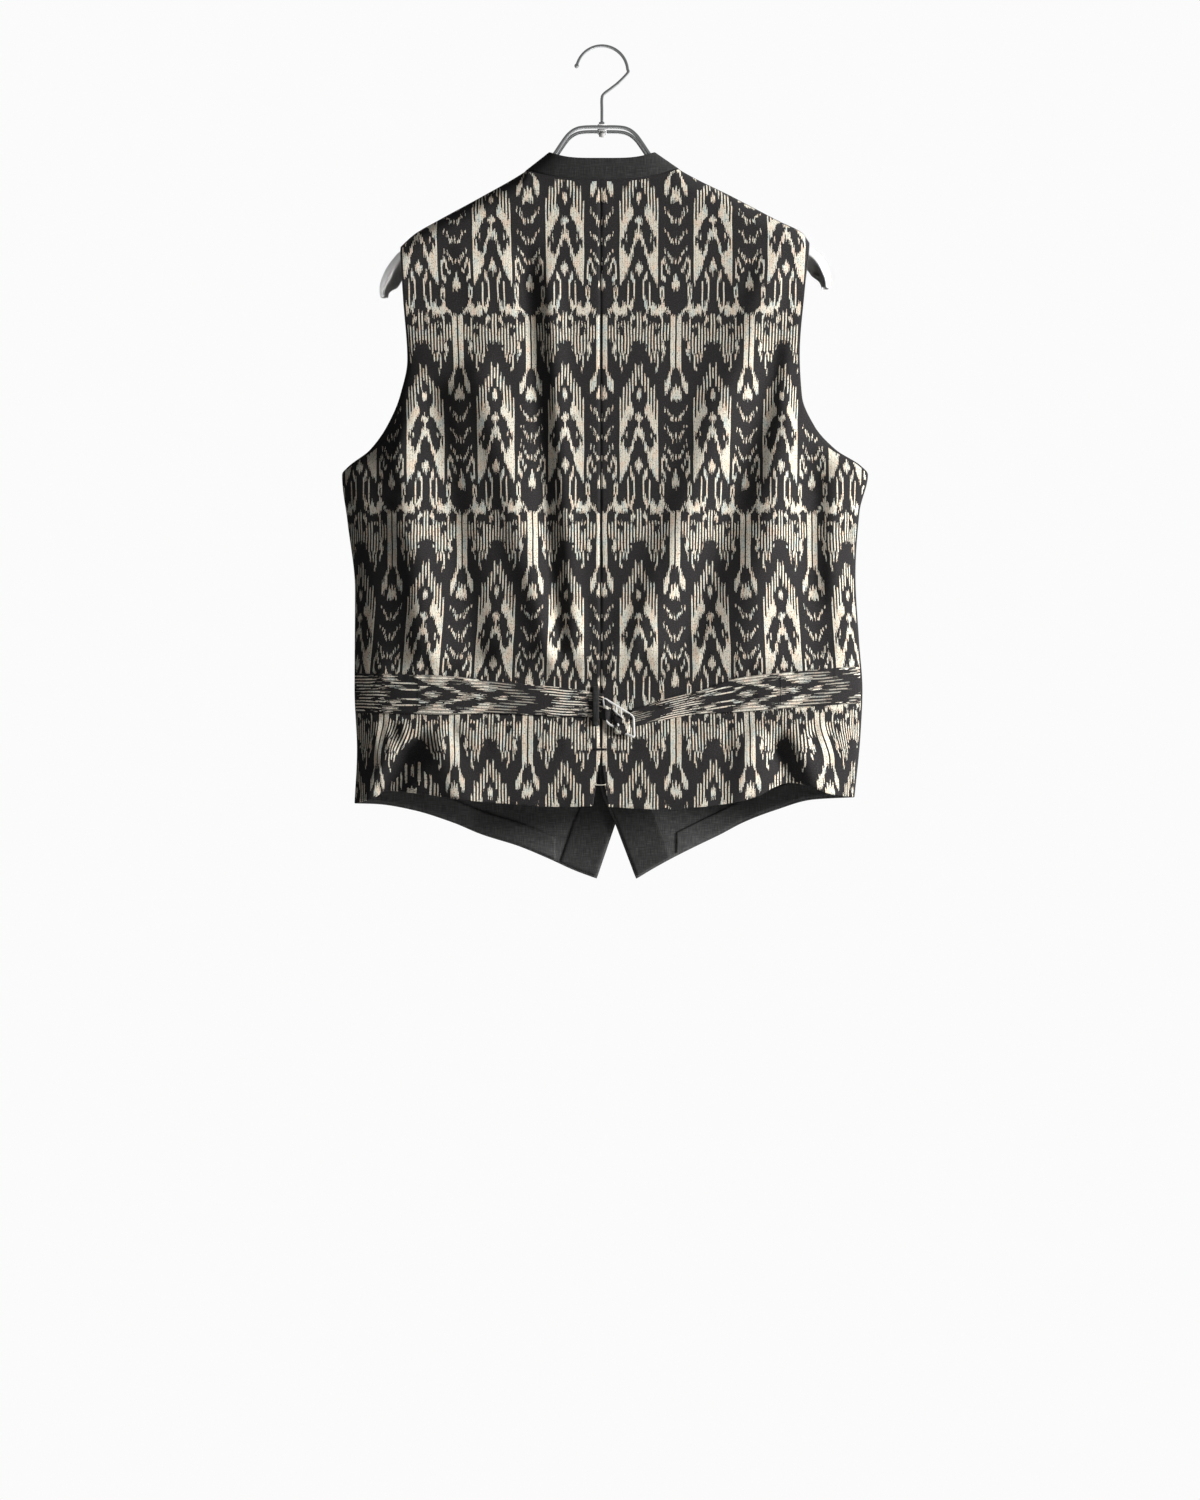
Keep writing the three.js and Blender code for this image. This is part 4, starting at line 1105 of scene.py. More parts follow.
@dataclass
class Creases:
    """The small creases that the cloth has over its main folds."""

    form: BodyForm
    seam_valley: float = 1.0
    seam_wide: float = 1.5
    placed: tuple[Fold, ...] = folds_from((
        (236, -674, 243, -712, -2.6, 5, 8), (224, -672, 226, -706, 2.2, 4, 7),
        (207, -671, 203, -700, -2.4, 4, 7), (150, -671, 141, -702, -1.8, 4, 8),
        (131, -670, 126, -690, 1.3, 4, 6), (-222, -668, -231, -700, -2.0, 5, 8),
        (-204, -668, -201, -690, 1.6, 4, 7), (-128, -668, -121, -700, -1.8, 4, 8),
        (-196, -440, -150, -470, -1.6, 6, 10), (-205, -452, -168, -500, 1.5, 6, 10),
        (204, -446, 160, -478, -1.4, 6, 10), (212, -470, 170, -520, 1.3, 7, 10),
        (-150, -215, -120, -330, -1.6, 8, 12), (140, -205, 112, -300, 1.3, 8, 12),
        (-18, -560, -12, -628, 1.4, 5, 6), (14, -560, 10, -628, -1.2, 5, 6),
        (-60, -520, -36, -625, -1.3, 7, 6), (70, -530, 48, -622, 1.2, 7, 6),
        (-199, -418, -204, -540, -5.0, 15, 17), (-228, -436, -232, -550, 3.4, 12, 14)))
    gathers: tuple[Fold, ...] = ()
    gather_rows: tuple[tuple[float, int], ...] = ((-631, 1), (-669, -1))
    gather_half: float = 240
    gather_reach: tuple[float, float] = (10, 34)
    gather_height: tuple[float, float] = (0.35, 1.1)
    gather_step: tuple[float, float] = (6, 14)

    def __post_init__(self) -> None:
        """Strews the belt's small gathers, the same way every time."""
        draw = np.random.default_rng(SEED)
        found = []
        for start, way in self.gather_rows:
            x = 2 - self.gather_half
            while x < self.gather_half:
                reach = way * draw.uniform(*self.gather_reach)
                height = draw.uniform(*self.gather_height) * draw.choice((-1, 1))
                lean = draw.uniform(-0.12, 0.12) * reach + 0.05 * x / self.gather_half * reach
                found.append(Fold(x, start, x + lean, start + reach, height,
                                  draw.uniform(2.2, 4), draw.uniform(3.5, 7)))
                x += draw.uniform(*self.gather_step)
        self.gathers = tuple(found)

    def at(self, side: Side, x: np.ndarray, z: np.ndarray) -> np.ndarray:
        """How far the small creases lift the back.

        Args:
            side: Which back.
            x: Places across it.
            z: Heights of the same places.
        Returns:
            The lift at each place.
        """
        share = np.abs(x) / self.form.half[side](z)
        free = smooth((np.abs(z - self.form.belt_height) - 17) / 8)
        lift = sum(f.at(x, z) for f in (*self.placed, *self.gathers)) * free
        near_hem = smooth((-722 - z) / 30)
        lift = lift + near_hem * (0.9 * np.sin(x / 17 + 0.6) + 0.6 * np.sin(x / 9.3))
        return lift * self.form.calm(share * 0.98) + self.seam(side, x, z)

    def seam(self, side: Side, x: np.ndarray, z: np.ndarray) -> np.ndarray:
        """The valley and the puckers along the centre-back seam.

        Args:
            side: Which half.
            x: Places across the garment.
            z: Heights of the same places.
        Returns:
            The lift at each place.
        """
        off = np.abs(x - self.form.back_inner(side, z))
        closed = smooth((z - self.form.vent_top) / 8)
        pucker = np.sin(z / 3.7) * 0.5 + np.sin(z / 9.1 + 1) * 0.5
        valley = -self.seam_valley * bell(off, self.seam_wide) * (1 + 0.3 * pucker)
        return closed * (valley + 0.22 * bell(off - 4, 4) * pucker)


@dataclass
class ArcTable:
    """How much farther the cloth reaches along its folds than straight across, by place."""

    form: BodyForm
    side: Side
    step: float = 3.0
    steepest: float = 1.2
    gain: float = 1.25
    even_out: float = 60
    across: np.ndarray = field(init=False)
    heights: np.ndarray = field(init=False)
    excess: np.ndarray = field(init=False)

    def __post_init__(self) -> None:
        """Adds up the extra length from the centre seam outward at each height."""
        self.across = np.arange(0, 276, self.step)
        self.heights = np.arange(-768, -99, self.step)
        x, z = np.meshgrid(self.across, self.heights)
        depth = self.form.back_bulge(self.side, self.side.value * x, z)
        slope = np.clip(np.gradient(depth, self.step, axis=1), -self.steepest, self.steepest)
        excess = np.cumsum(np.sqrt(1 + slope**2) - 1, axis=1) * self.step * self.gain
        reach = int(3 * self.even_out / self.step)
        weights = bell(np.arange(-reach, reach + 1) * self.step, self.even_out)
        padded = np.pad(excess, ((reach, reach), (0, 0)), mode="edge")
        rows = range(len(self.heights))
        self.excess = np.array([weights @ padded[r:r + len(weights)] for r in rows]) / weights.sum()

    def at(self, x: np.ndarray, z: np.ndarray) -> np.ndarray:
        """Reads the table between its places.

        Args:
            x: Places across the garment.
            z: Heights of the same places.
        Returns:
            The extra length from the centre seam out to each place.
        """
        a = np.clip(np.abs(x) / self.step, 0, len(self.across) - 1.001)
        b = np.clip((z - self.heights[0]) / self.step, 0, len(self.heights) - 1.001)
        i, j = a.astype(int), b.astype(int)
        p, q = a - i, b - j
        e = self.excess
        low = mix(e[j, i], e[j, i + 1], p)
        return mix(low, mix(e[j + 1, i], e[j + 1, i + 1], p), q)


def meet(boundary: Callable[[Any], Any], column: Callable[[Any], Any], start: float, count: int
         ) -> np.ndarray:
    """Finds the height where each column meets a boundary that is given over x.

    Args:
        boundary: Height of the boundary at a distance from the middle.
        column: Where the columns stand at a height.
        start: A first guess.
        count: How many columns there are.
    Returns:
        One height for each column.
    """
    z = np.full(count, start, float)
    for _ in range(30):
        z = (z + boundary(np.abs(column(z)))) / 2
    return z


@dataclass
class Panel:
    """What a back and a front share: a grid between an inner edge, a hem and a top edge."""

    form: BodyForm
    side: Side
    columns: int = 100
    rows: int = 220
    roll_rows: int = 14
    thickness: float = 1.3
    column_power: float = 1.35

    def inner(self, z: Any) -> Any:
        """The edge nearest the centre."""
        raise NotImplementedError

    def shares(self) -> np.ndarray:
        """Columns as shares of the way from the inner edge to the side, closer at the side."""
        return 1 - (1 - np.linspace(0, 1, self.columns + 1)) ** self.column_power

    def places(self, hem: Curve, top: Callable[[Any], Any]) -> tuple[np.ndarray, np.ndarray]:
        """Lays out the grid.

        Args:
            hem: Height of the hem.
            top: Height of the top edge.
        Returns:
            The x and the z of each point, in rows from the hem to the top.
        """
        shares = self.shares()

        def column(z: Any) -> Any:
            """Where the columns stand at a height."""
            return mix(self.inner(z), self.side.value * self.form.half[self.side](z), shares)

        low = meet(hem, column, -755, len(shares))
        high = meet(top, column, -150, len(shares))
        up = np.linspace(0, 1, self.rows)[:, None]
        turn = np.radians(np.linspace(90, 0, self.roll_rows + 1)[1:])[:, None]
        z = np.vstack([mix(low, high - self.form.roll, up), high - self.form.roll * (1 - np.cos(turn))])
        return column(z), z

    def over_the_roll(self, points: np.ndarray) -> np.ndarray:
        """Follows the cloth up where it rolls over the shoulder.

        Args:
            points: The grid's points.
        Returns:
            A height for each point, measured on along the cloth.
        """
        along = points[..., 2].copy()
        start = self.rows - 1
        step = np.linalg.norm(np.diff(points[start:], axis=0), axis=2)
        along[start + 1:] = along[start] + np.cumsum(step, axis=0)
        return along


@dataclass
class BackPanel(Panel):
    """One half of the patterned back."""

    creases: Creases | None = None
    beside_seam: tuple[float, ...] = (0.5, 1.0, 1.6, 2.3)
    axis_x: float = 0.25
    flat: tuple[float, float] = (0.268, 0.652)
    cut_area: float = 0.136
    leans: dict[Side, tuple[tuple[float, float, float], ...]] = field(default_factory=lambda: {
        Side.LEFT: ((206, 22, -15), (163, 15, 6)), Side.RIGHT: ((228, 25, -13),)})
    plain_curve: float = 5.5
    plain_at: float = -390
    plain_tall: float = 25
    lean_from: float = -670
    lean_length: float = 46

    def inner(self, z: Any) -> Any:
        """The edge at the centre seam and the vent."""
        return self.form.back_inner(self.side, z)

    def shares(self) -> np.ndarray:
        """The usual columns, with more beside the centre seam."""
        extra = np.array(self.beside_seam) / 250
        return np.sort(np.concatenate([super().shares(), extra]))

    def depth(self, x: Any, z: Any) -> Any:
        """The back's face with its small creases.

        Args:
            x: Places across the garment.
            z: Heights of the same places.
        Returns:
            Its distance behind the middle plane.
        """
        near_top = smooth((self.form.back_top(self.side, x) - z) / 26)
        lift = self.creases.at(self.side, x, z) * near_top
        return self.form.back_depth(self.side, x, z) + lift

    def lean(self, x: Any, z: Any) -> Any:
        """How far the threads slip sideways below the belt, where the cloth is caught up."""
        slip = sum(far * bell(np.abs(x) - at, wide) for at, wide, far in self.leans[self.side])
        return slip * smooth((self.lean_from - z) / self.lean_length)

    def grid(self) -> ClothGrid:
        """Lays out the back's face and its threads.

        Returns:
            The cloth, from the hem up.
        """
        x, z = self.places(self.form.back_hem[self.side],
                           lambda at: self.form.back_top(self.side, at))
        points = np.stack([x, self.depth(x, z), z], axis=2)
        arc = ArcTable(self.form, self.side)
        across = np.abs(x - self.axis_x) + arc.at(x, z) + self.lean(x, z)
        armhole = self.form.half[self.side](z) - np.abs(x)
        if self.side is Side.LEFT:
            armhole = np.where(z > self.form.underarm, armhole, NO_EDGE)
        armhole = armhole - self.plain_curve * bell(z - self.plain_at, self.plain_tall)
        armhole = np.minimum(armhole, self.form.back_top(self.side, x) - z)
        seam = np.where(z > self.form.vent_top, np.abs(x - self.inner(z)), NO_EDGE)
        threads = np.stack([across, self.over_the_roll(points)], axis=2)
        return ClothGrid(points, threads, (0, 1, 0.1), np.stack([seam, armhole], axis=2))

    def build(self) -> bpy.types.Object:
        """Makes the piece and gives it its cloth.

        Returns:
            The piece.
        """
        word = self.side.word
        piece = self.grid().shell(f"{word}_back_cloth", self.thickness)
        dress(piece, IKAT, Slot.BACK, f"back_{word}")
        return piece


@dataclass
class FrontPanel(Panel):
    """One plain front."""

    columns: int = 76
    rows: int = 190
    flat: tuple[float, float] = (0.292, 0.727)
    cut_area: float = 0.150

    def inner(self, z: Any) -> Any:
        """The front's edge."""
        return self.form.front_inner(self.side, z)

    def depth(self, x: Any, z: Any) -> Any:
        """The front's face with soft waves at its hem.

        Args:
            x: Places across the garment.
            z: Heights of the same places.
        Returns:
            Its distance before the middle plane.
        """
        waves = 0.5 * np.sin(x / 23 + z / 60) * smooth((-640 - z) / 120)
        share = np.abs(x) / self.form.half[self.side](z)
        return self.form.front_depth(self.side, x, z) + waves * self.form.calm(share)

    def build(self) -> bpy.types.Object:
        """Makes the piece and gives it its cloth.

        Returns:
            The piece.
        """
        word = self.side.word
        x, z = self.places(self.form.front_hem[self.side], self.form.shoulder[self.side])
        points = np.stack([x, -self.depth(x, z), z], axis=2)
        threads = np.stack([x, self.over_the_roll(points)], axis=2)
        piece = ClothGrid(points, threads, (0, -1, 0.1)).shell(f"{word}_front_cloth", self.thickness)
        dress(piece, PLAIN, Slot.FRONT, f"front_{word}")
        line_inside(piece, self.rows + self.roll_rows, self.columns + 1)
        return piece


@dataclass
class Facings:
    """The facings inside a front: one along its edge and one along its hem."""

    front: FrontPanel
    width: float = 42
    head: float = -320
    hem_width: float = 23
    hem_fold: float = 2.5
    after_facing: float = 9
    before_seam: float = 9
    thickness: float = 0.9
    gap: float = 0.35
    inset: float = 2
    flat: tuple[float, float] = (0.042, 0.510)
    hem_flat: tuple[float, float] = (0.021, 0.190)

    def on_front(self, x: np.ndarray, z: np.ndarray) -> ClothGrid:
        """Lays a grid on the inside of the front.

        Args:
            x: Places across the garment.
            z: Heights of the same places.
        Returns:
            The cloth.
        """
        depth = self.front.depth(x, z) - self.front.thickness
        points = np.stack([x, -depth, z], axis=2)
        return ClothGrid(points, np.stack([x, z], axis=2), (0, 1, 0))

    def strip(self, name: str, first: np.ndarray, second: np.ndarray, across: int
              ) -> bpy.types.Object:
        """Makes a strip between two lines that run side by side.

        Args:
            name: The piece's name.
            first: The x and z of places along one edge.
            second: The same along the other edge.
            across: How many points lie between them.
        Returns:
            The new object.
        """
        share = np.linspace(0, 1, across)[None, :, None]
        place = mix(first[:, None, :], second[:, None, :], share)
        grid = self.on_front(place[..., 0], place[..., 1])
        return grid.shell(name, self.thickness, self.gap + self.thickness)

    def build(self) -> list[bpy.types.Object]:
        """Makes both facings and gives them their cloth.

        Returns:
            The edge facing and the hem facing.
        """
        side, form, sign = self.front.side, self.front.form, self.front.side.value
        word = side.word
        off = np.linspace(self.inset, self.width, 16)

        def column(z: Any) -> Any:
            """Where the facing's columns stand at a height."""
            return form.front_inner(side, z) + sign * off

        foot = meet(lambda out: form.front_hem[side](out) + self.hem_fold, column, -815, len(off))
        z = mix(foot, self.head, np.linspace(0, 1, 190)[:, None])
        edge = self.on_front(column(z), z).shell(
            f"{word}_edge_facing", self.thickness, self.gap + self.thickness)
        dress(edge, FACING, Slot.FRONT, f"front_facing_{word}")
        out = form.front_hem[side]
        first = sign * form.front_inner(side, -806) + self.width + self.after_facing
        x = np.linspace(first, out.places[-1][0] - self.before_seam, 110)
        lines = [np.column_stack([sign * x, out(x) + lift]) for lift in (self.hem_fold, self.hem_width)]
        hem = self.strip(f"{word}_hem_facing_cloth", *lines, 10)
        dress(hem, LINING, Slot.FRONT, f"hem_facing_{word}")
        return [edge, hem]


@dataclass
class NeckBand:
    """The plain band round the back of the neck."""

    form: BodyForm
    top_half: float = 53.5
    top_middle: float = -115.2
    top_ends: float = -106.2
    top_depth: float = 25.5
    thickness: float = 1.5
    off_seam: float = 0.3
    columns: int = 90
    rows: int = 14
    flat: tuple[float, float] = (0.160, 0.024)

    def build(self) -> bpy.types.Object:
        """Makes the band and gives it its cloth.

        Returns:
            The piece.
        """
        form = self.form
        share = np.sin(np.linspace(-np.pi / 2, np.pi / 2, self.columns)) * 0.9995
        x = share * form.neck_half
        top_z = np.where(x > 0, form.back_top(Side.LEFT, x), form.back_top(Side.RIGHT, x))
        foot = np.column_stack([x, form.seam_depth(x), top_z + self.off_seam])
        depth = form.seam_gap / 2 + self.top_depth * np.cbrt(1 - np.abs(share) ** 5)
        height = mix(self.top_middle, self.top_ends, share**4)
        top = np.column_stack([share * self.top_half, depth, height])
        lift = np.linspace(0, 1, self.rows)[:, None, None]
        points = mix(foot[None], top[None], lift)
        points[..., 1] += 0.7 * np.sin(np.pi * lift[..., 0]) * (1 - np.abs(share) ** 6)
        threads = np.stack([points[..., 0], points[..., 2]], axis=2)
        piece = ClothGrid(points, threads, (0, 1, 0.1)).shell("back_neck_band", self.thickness)
        dress(piece, BAND, Slot.FRONT, "neck_band")
        return piece


@dataclass
class BeltStrap:
    """One strap of the waist belt, from the side seam to the buckle."""

    back: BackPanel
    top: Curve
    bottom: Curve
    end: float
    fork_x: float
    flat: tuple[float, float]
    crumple: tuple[Fold, ...] = ()
    thickness: float = 1.3
    sewn_lift: float = 1.9
    free_lift: float = 3.0
    sewn_to: float = 182
    round_off: float = 0.7
    cut_width: float = 37
    wide_axis: float = 36.75
    short_of_side: float = 0.6
    stations: int = 170
    across: int = 16

    def place(self, out: Any, down: Any) -> tuple[Any, Any]:
        """Finds places on the strap.

        Args:
            out: Distances from the middle.
            down: Shares of the way down the strap.
        Returns:
            Their x and z.
        """
        z = mix(self.top(out), self.bottom(out), down)
        form, side = self.back.form, self.back.side
        seam = side.value * form.back_seam_x
        reach = form.half[side](form.belt_height) - seam
        share = (out - seam) / reach
        return side.value * mix(seam, form.half[side](z), share), z

    def lift(self, out: Any) -> Any:
        """How far the strap's face stands off the back."""
        return mix(self.free_lift, self.sewn_lift, smooth((out - self.sewn_to + 30) / 30))

    def build(self) -> bpy.types.Object:
        """Makes the strap and gives it its cloth.

        Returns:
            The piece.
        """
        form, side = self.back.form, self.back.side
        limit = form.half[side](form.belt_height) - self.short_of_side
        far = limit - (limit - self.end) * (1 - np.linspace(0, 1, self.stations)) ** 1.25
        out, down = np.meshgrid(far, np.linspace(0, 1, self.across), indexing="ij")
        x, z = self.place(out, down)
        edge = np.abs(2 * down - 1)
        lift = self.lift(out) - self.round_off * edge**4
        lift = lift + sum((f.at(x, z) for f in self.crumple), 0 * x)
        points = np.stack([x, self.back.depth(x, z) + lift, z], axis=2)
        width = mix(self.top(out) - self.bottom(out), self.cut_width, 0.5)
        threads = np.stack([self.wide_axis + (0.5 - down) * width,
                            IKAT.fork_top / MM - (x - self.fork_x)], axis=2)
        away = np.full_like(threads, NO_EDGE)
        piece = ClothGrid(points, threads, (0, 1, 0), away).shell(
            f"{side.word}_belt_strap", self.thickness)
        dress(piece, BELT_IKAT, Slot.BACK, f"strap_{side.word}")
        return piece


@dataclass
class KeeperLoop:
    """The plain loop at the back seam that the strap passes under."""

    back: BackPanel
    x: float = 6.2
    half: float = 3.2
    thickness: float = 1.2
    profile: Curve = Curve(((-640, 0.9), (-643.5, 1.7), (-646, 4.2), (-651, 5.0), (-664, 5.0),
                            (-669.5, 4.6), (-672, 3.4), (-674.5, 1.5), (-678, 0.9)))
    flat: tuple[float, float] = (0.010, 0.042)
    cut_area: float = 0.00031

    def build(self) -> bpy.types.Object:
        """Makes the loop and gives it its cloth.

        Returns:
            The piece.
        """
        top, bottom = self.profile.places[0][0], self.profile.places[-1][0]
        down, across = np.meshgrid(np.linspace(top, bottom, 60), np.linspace(-1, 1, 9), indexing="ij")
        x = self.x + across * self.half
        lift = self.profile(down) - 0.5 * across**4 + self.thickness
        points = np.stack([x, self.back.depth(x, down) + lift, down], axis=2)
        threads = np.stack([x, down], axis=2)
        piece = ClothGrid(points, threads, (0, 1, 0)).shell("keeper_loop", self.thickness)
        dress(piece, BAND, Slot.FRONT, "belt_loop")
        return piece


@dataclass
class Buckle:
    """The belt's wire buckle with two prongs, and the strap's end that is wound round it."""

    left_back: BackPanel
    right_back: BackPanel
    corners: tuple[tuple[float, float, float], ...] = (
        (-1, -650.5, 4.5), (-31, -669, 4.6), (-32, -690.5, 4.6), (-5, -676, 4.5))
    wire: float = 1.15
    middle: float = 0.42
    corner_share: float = 0.13
    fold_thickness: float = 1.0
    prong_bends: tuple[tuple[tuple[float, float, float], ...], ...] = (
        ((-10.5, -661.5, 5.6), (-13, -664.6, 7.2), (-16.5, -667.6, 8.2), (-20.4, -670.6, 9.2)),
        ((-18.9, -662.2, 5.4), (-19.0, -665.0, 7.4), (-19.2, -669.4, 9.2)))
    tail_middle: float = -19.7
    tail_half: float = 7.9
    sag: float = 1.8
    rolls: tuple[tuple[float, float], ...] = (
        (-668.5, 2.4), (-667.6, 5.2), (-669.0, 7.4), (-672.2, 8.3), (-675.6, 7.6), (-677.6, 5.4),
        (-679.4, 6.9), (-682.4, 7.4), (-685.6, 6.2), (-687.2, 3.6), (-686.2, 1.6))
    prong_wire: float = 0.75
    wrap_across: tuple[float, float] = (3.2, -10.6)
    wrap_top: tuple[float, float] = (-649.5, -655.6)
    wrap_foot: tuple[float, float] = (-671, -675.5)
    wrap_over: Curve = Curve(((0, 3.2), (0.3, 5.2), (0.5, 6.9), (0.72, 6.3), (0.9, 4.6), (1, 2.6)))
    # Where the tail reads the chart: cream on its right as painted light, ground on its left and lower
    # roll as painted shade.
    tail_weave_for_painted_shade: tuple[float, float] = (41.8, 122)
    # Where the wrap reads the chart: a stretch that is nearly all ground, as painted shade inside the
    # buckle.
    wrap_weave_for_painted_shade: tuple[float, float] = (47, 44)
    tail_flat: tuple[float, float] = (0.016, 0.045)
    wrap_flat: tuple[float, float] = (0.016, 0.021)

    def corner(self, number: int) -> np.ndarray:
        """One corner of the frame, off the back by its own distance.

        Args:
            number: Which corner, from the top left round.
        Returns:
            The corner's place.
        """
        x, z, off = self.corners[number]
        back = self.left_back if x > self.left_back.form.back_seam_x else self.right_back
        return np.array([x, back.form.back_depth(back.side, x, z) + off, z], float)

    def at(self, across: float, down: float) -> np.ndarray:
        """A place on the buckle's plane, from its left bar to its right and from its top down."""
        upper = mix(self.corner(0), self.corner(1), across)
        return mix(upper, mix(self.corner(3), self.corner(2), across), down)

    def frame_path(self) -> Points:
        """The frame's middle line with rounded corners.

        Returns:
            The line's points.
        """
        corners = [self.corner(i) for i in range(4)]
        path = []
        for i, corner in enumerate(corners):
            before, after = corners[i - 1], corners[(i + 1) % 4]
            start = mix(corner, before, self.corner_share)
            end = mix(corner, after, self.corner_share)
            for t in np.linspace(0, 1, 7):
                path.append((1 - t) ** 2 * start + 2 * t * (1 - t) * corner + t * t * end)
        return np.array(path)

    def prongs(self) -> Solid:
        """The two prongs, bent over the middle bar and down into the tail.

        Returns:
            Both as one solid.
        """
        parts = []
        for bend in self.prong_bends:
            x, z, off = np.array(bend, float).T
            parts.append(tube(smooth_path(self.on_back(x, z, off), 6), self.prong_wire, 10))
        return joined(parts)

    def on_back(self, x: np.ndarray, z: np.ndarray, off: np.ndarray) -> np.ndarray:
        """Stands places off the calm surface of the right back.

        Args:
            x: Places across the garment.
            z: Heights of the same places.
            off: How far each stands off.
        Returns:
            The places.
        """
        back = self.right_back
        depth = back.form.back_depth(back.side, np.minimum(x, 1.2), z)
        return np.stack([x, depth + off, z], axis=-1)

    def tail(self) -> bpy.types.Object:
        """The right strap's end, which comes over the middle bar and hangs in two rolls. Its pattern is
        placed as painted light on its right and painted shade on its left and lower roll.

        Returns:
            The piece.
        """
        turns = smooth_path([(z, off, 0) for z, off in self.rolls], 8)
        across = np.linspace(-1, 1, 20)
        x = np.broadcast_to(self.tail_middle + self.tail_half * across, (len(turns), 20))
        smile = self.sag * across**4
        z = turns[:, :1] + smile
        off = turns[:, 1:2] - 0.9 * across**4
        walk = np.concatenate([[0], np.cumsum(np.linalg.norm(np.diff(turns, axis=0), axis=1))])
        down = np.broadcast_to(walk[:, None] * 1.15, z.shape)
        # The chart is read where its cream falls on the tail's right: painted light there, painted shade
        # on the left.
        column, row = self.tail_weave_for_painted_shade
        threads = np.stack([column - x + self.tail_middle, IKAT.fork_top / MM - row - down], axis=2)
        away = np.full_like(threads, NO_EDGE)
        grid = ClothGrid(self.on_back(x, z, off), threads, (0, 1, 0), away)
        piece = grid.shell("strap_tail", self.fold_thickness)
        dress(piece, IKAT, Slot.BACK, "strap_fold")
        return piece

    def wrap(self) -> bpy.types.Object:
        """The left strap's end, turned over the buckle's left bar. It reads a nearly bare stretch of the
        chart as painted shade.

        Returns:
            The piece.
        """
        share, down = np.meshgrid(np.linspace(0, 1, 26), np.linspace(0, 1, 18), indexing="ij")
        x = mix(*self.wrap_across, share)
        z = mix(mix(*self.wrap_top, share), mix(*self.wrap_foot, share), down)
        edges = 0.8 * np.abs(2 * down - 1) ** 3
        off = self.wrap_over(share) - edges + 0.35 * np.sin(9 * down + 5 * share)
        # A nearly bare stretch of the chart, read as painted shade.
        column, row = self.wrap_weave_for_painted_shade
        threads = np.stack([column + 20 * down, IKAT.fork_top / MM - row - 14 * share], axis=2)
        away = np.full_like(threads, NO_EDGE)
        grid = ClothGrid(self.on_back(x, z, off), threads, (0, 1, 0), away)
        piece = grid.shell("strap_wrap", self.fold_thickness)
        dress(piece, IKAT, Slot.BACK)
        return piece

    def build(self) -> list[bpy.types.Object]:
        """Makes the buckle and the straps' ends.

        Returns:
            The three pieces.
        """
        bar = np.array([self.at(self.middle, t) for t in (0, 0.5, 1)])
        solid = joined([tube(self.frame_path(), self.wire, 14, True), tube(bar, self.wire * 0.9, 12),
                        self.prongs()])
        buckle = make_object("belt_buckle", *solid)
        dress(buckle, BUCKLE_STEEL, Slot.BUCKLE, "buckle")
        return [buckle, self.tail(), self.wrap()]


@dataclass
class ButtonRow:
    """The buttons down the fronts, their thread and their buttonholes."""

    front: FrontPanel
    heights: tuple[float, ...] = (-362, -452, -542, -632, -722)
    radius: float = 8.5
    off: float = 0.5
    hole_spread: float = 1.7
    hole_long: float = 19
    hole_tall: float = 1.9
    hole_beside: float = 4
    rim_thread: float = 0.55
    sewing_thread: float = 0.24
    plies: tuple[float, ...] = (-0.32, 0, 0.32)
    profile: tuple[tuple[float, float], ...] = (
        (5.95, 0), (7.905, 0.35), (8.5, 1.2), (8.5, 1.9), (8.245, 2.6), (7.65, 3.0), (6.97, 2.95),
        (6.375, 2.55), (5.78, 2.25), (2.55, 2.2), (0.2, 2.2))

    def face(self, x: float, z: float) -> tuple[np.ndarray, np.ndarray]:
        """Finds a place on the front's face.

        Args:
            x: Its place across.
            z: Its height.
        Returns:
            The place, and the way off the face there.
        """
        step = self.radius / 2
        depth = self.front.depth
        rise = (depth(x + step, z) - depth(x - step, z)) / (2 * step)
        off = np.array([-rise, -1, 0], float) / math.hypot(rise, 1)
        return np.array([x, -float(depth(x, z)), z]), off

    def disc(self) -> Solid:
        """A button with a raised rim and a dished middle, lying on the XY plane."""
        return lathe(self.profile, 56)

    def thread(self) -> Solid:
        """Two bars of thread through a button's four holes, lying on the XY plane.

        Returns:
            Both bars as one solid.
        """
        parts = []
        for side in (-1, 1):
            for ply in self.plies:
                y = side * self.hole_spread + ply
                bow = [(-self.hole_spread * 1.15, y, 1.9), (-1, y, 2.5), (0, y, 2.65), (1, y, 2.5),
                       (self.hole_spread * 1.15, y, 1.9)]
                parts.append(tube(smooth_path(bow, 3), self.sewing_thread, 6))
        return joined(parts)

    def hole(self, x: float, z: float) -> Solid:
        """A worked buttonhole beside a button.

        Args:
            x: The button's place across.
            z: Its height.
        Returns:
            The hole's stitched rim.
        """
        ring = []
        for turn in np.linspace(0, 2 * np.pi, 37)[:-1]:
            at_x = x + self.hole_beside + self.hole_long / 2 * math.cos(turn)
            at_z = z + self.hole_tall / 2 * math.sin(turn)
            place, off = self.face(at_x, at_z)
            ring.append(place + off * 0.15)
        return tube(np.array(ring), self.rim_thread, 6, True)

    def build(self) -> list[bpy.types.Object]:
        """Makes the buttons, and joins their thread and the buttonholes into one piece.

        Returns:
            The buttons and the sewn piece.
        """
        made, sewn = [], []
        for number, z in enumerate(self.heights, 1):
            x = float(self.front.form.centre_front(z))
            place, off = self.face(x, z)
            foot = place + off * self.off
            disc = make_object(f"horn_button_{number}", *turned(self.disc(), off, foot))
            made.append(dress(disc, HORN, Slot.BUTTON, f"button_{number}"))
            sewn += [turned(self.thread(), off, foot), self.hole(x, z)]
        thread = make_object("button_thread", *joined(sewn))
        return [*made, dress(thread, BLACK_THREAD, Slot.FRONT)]


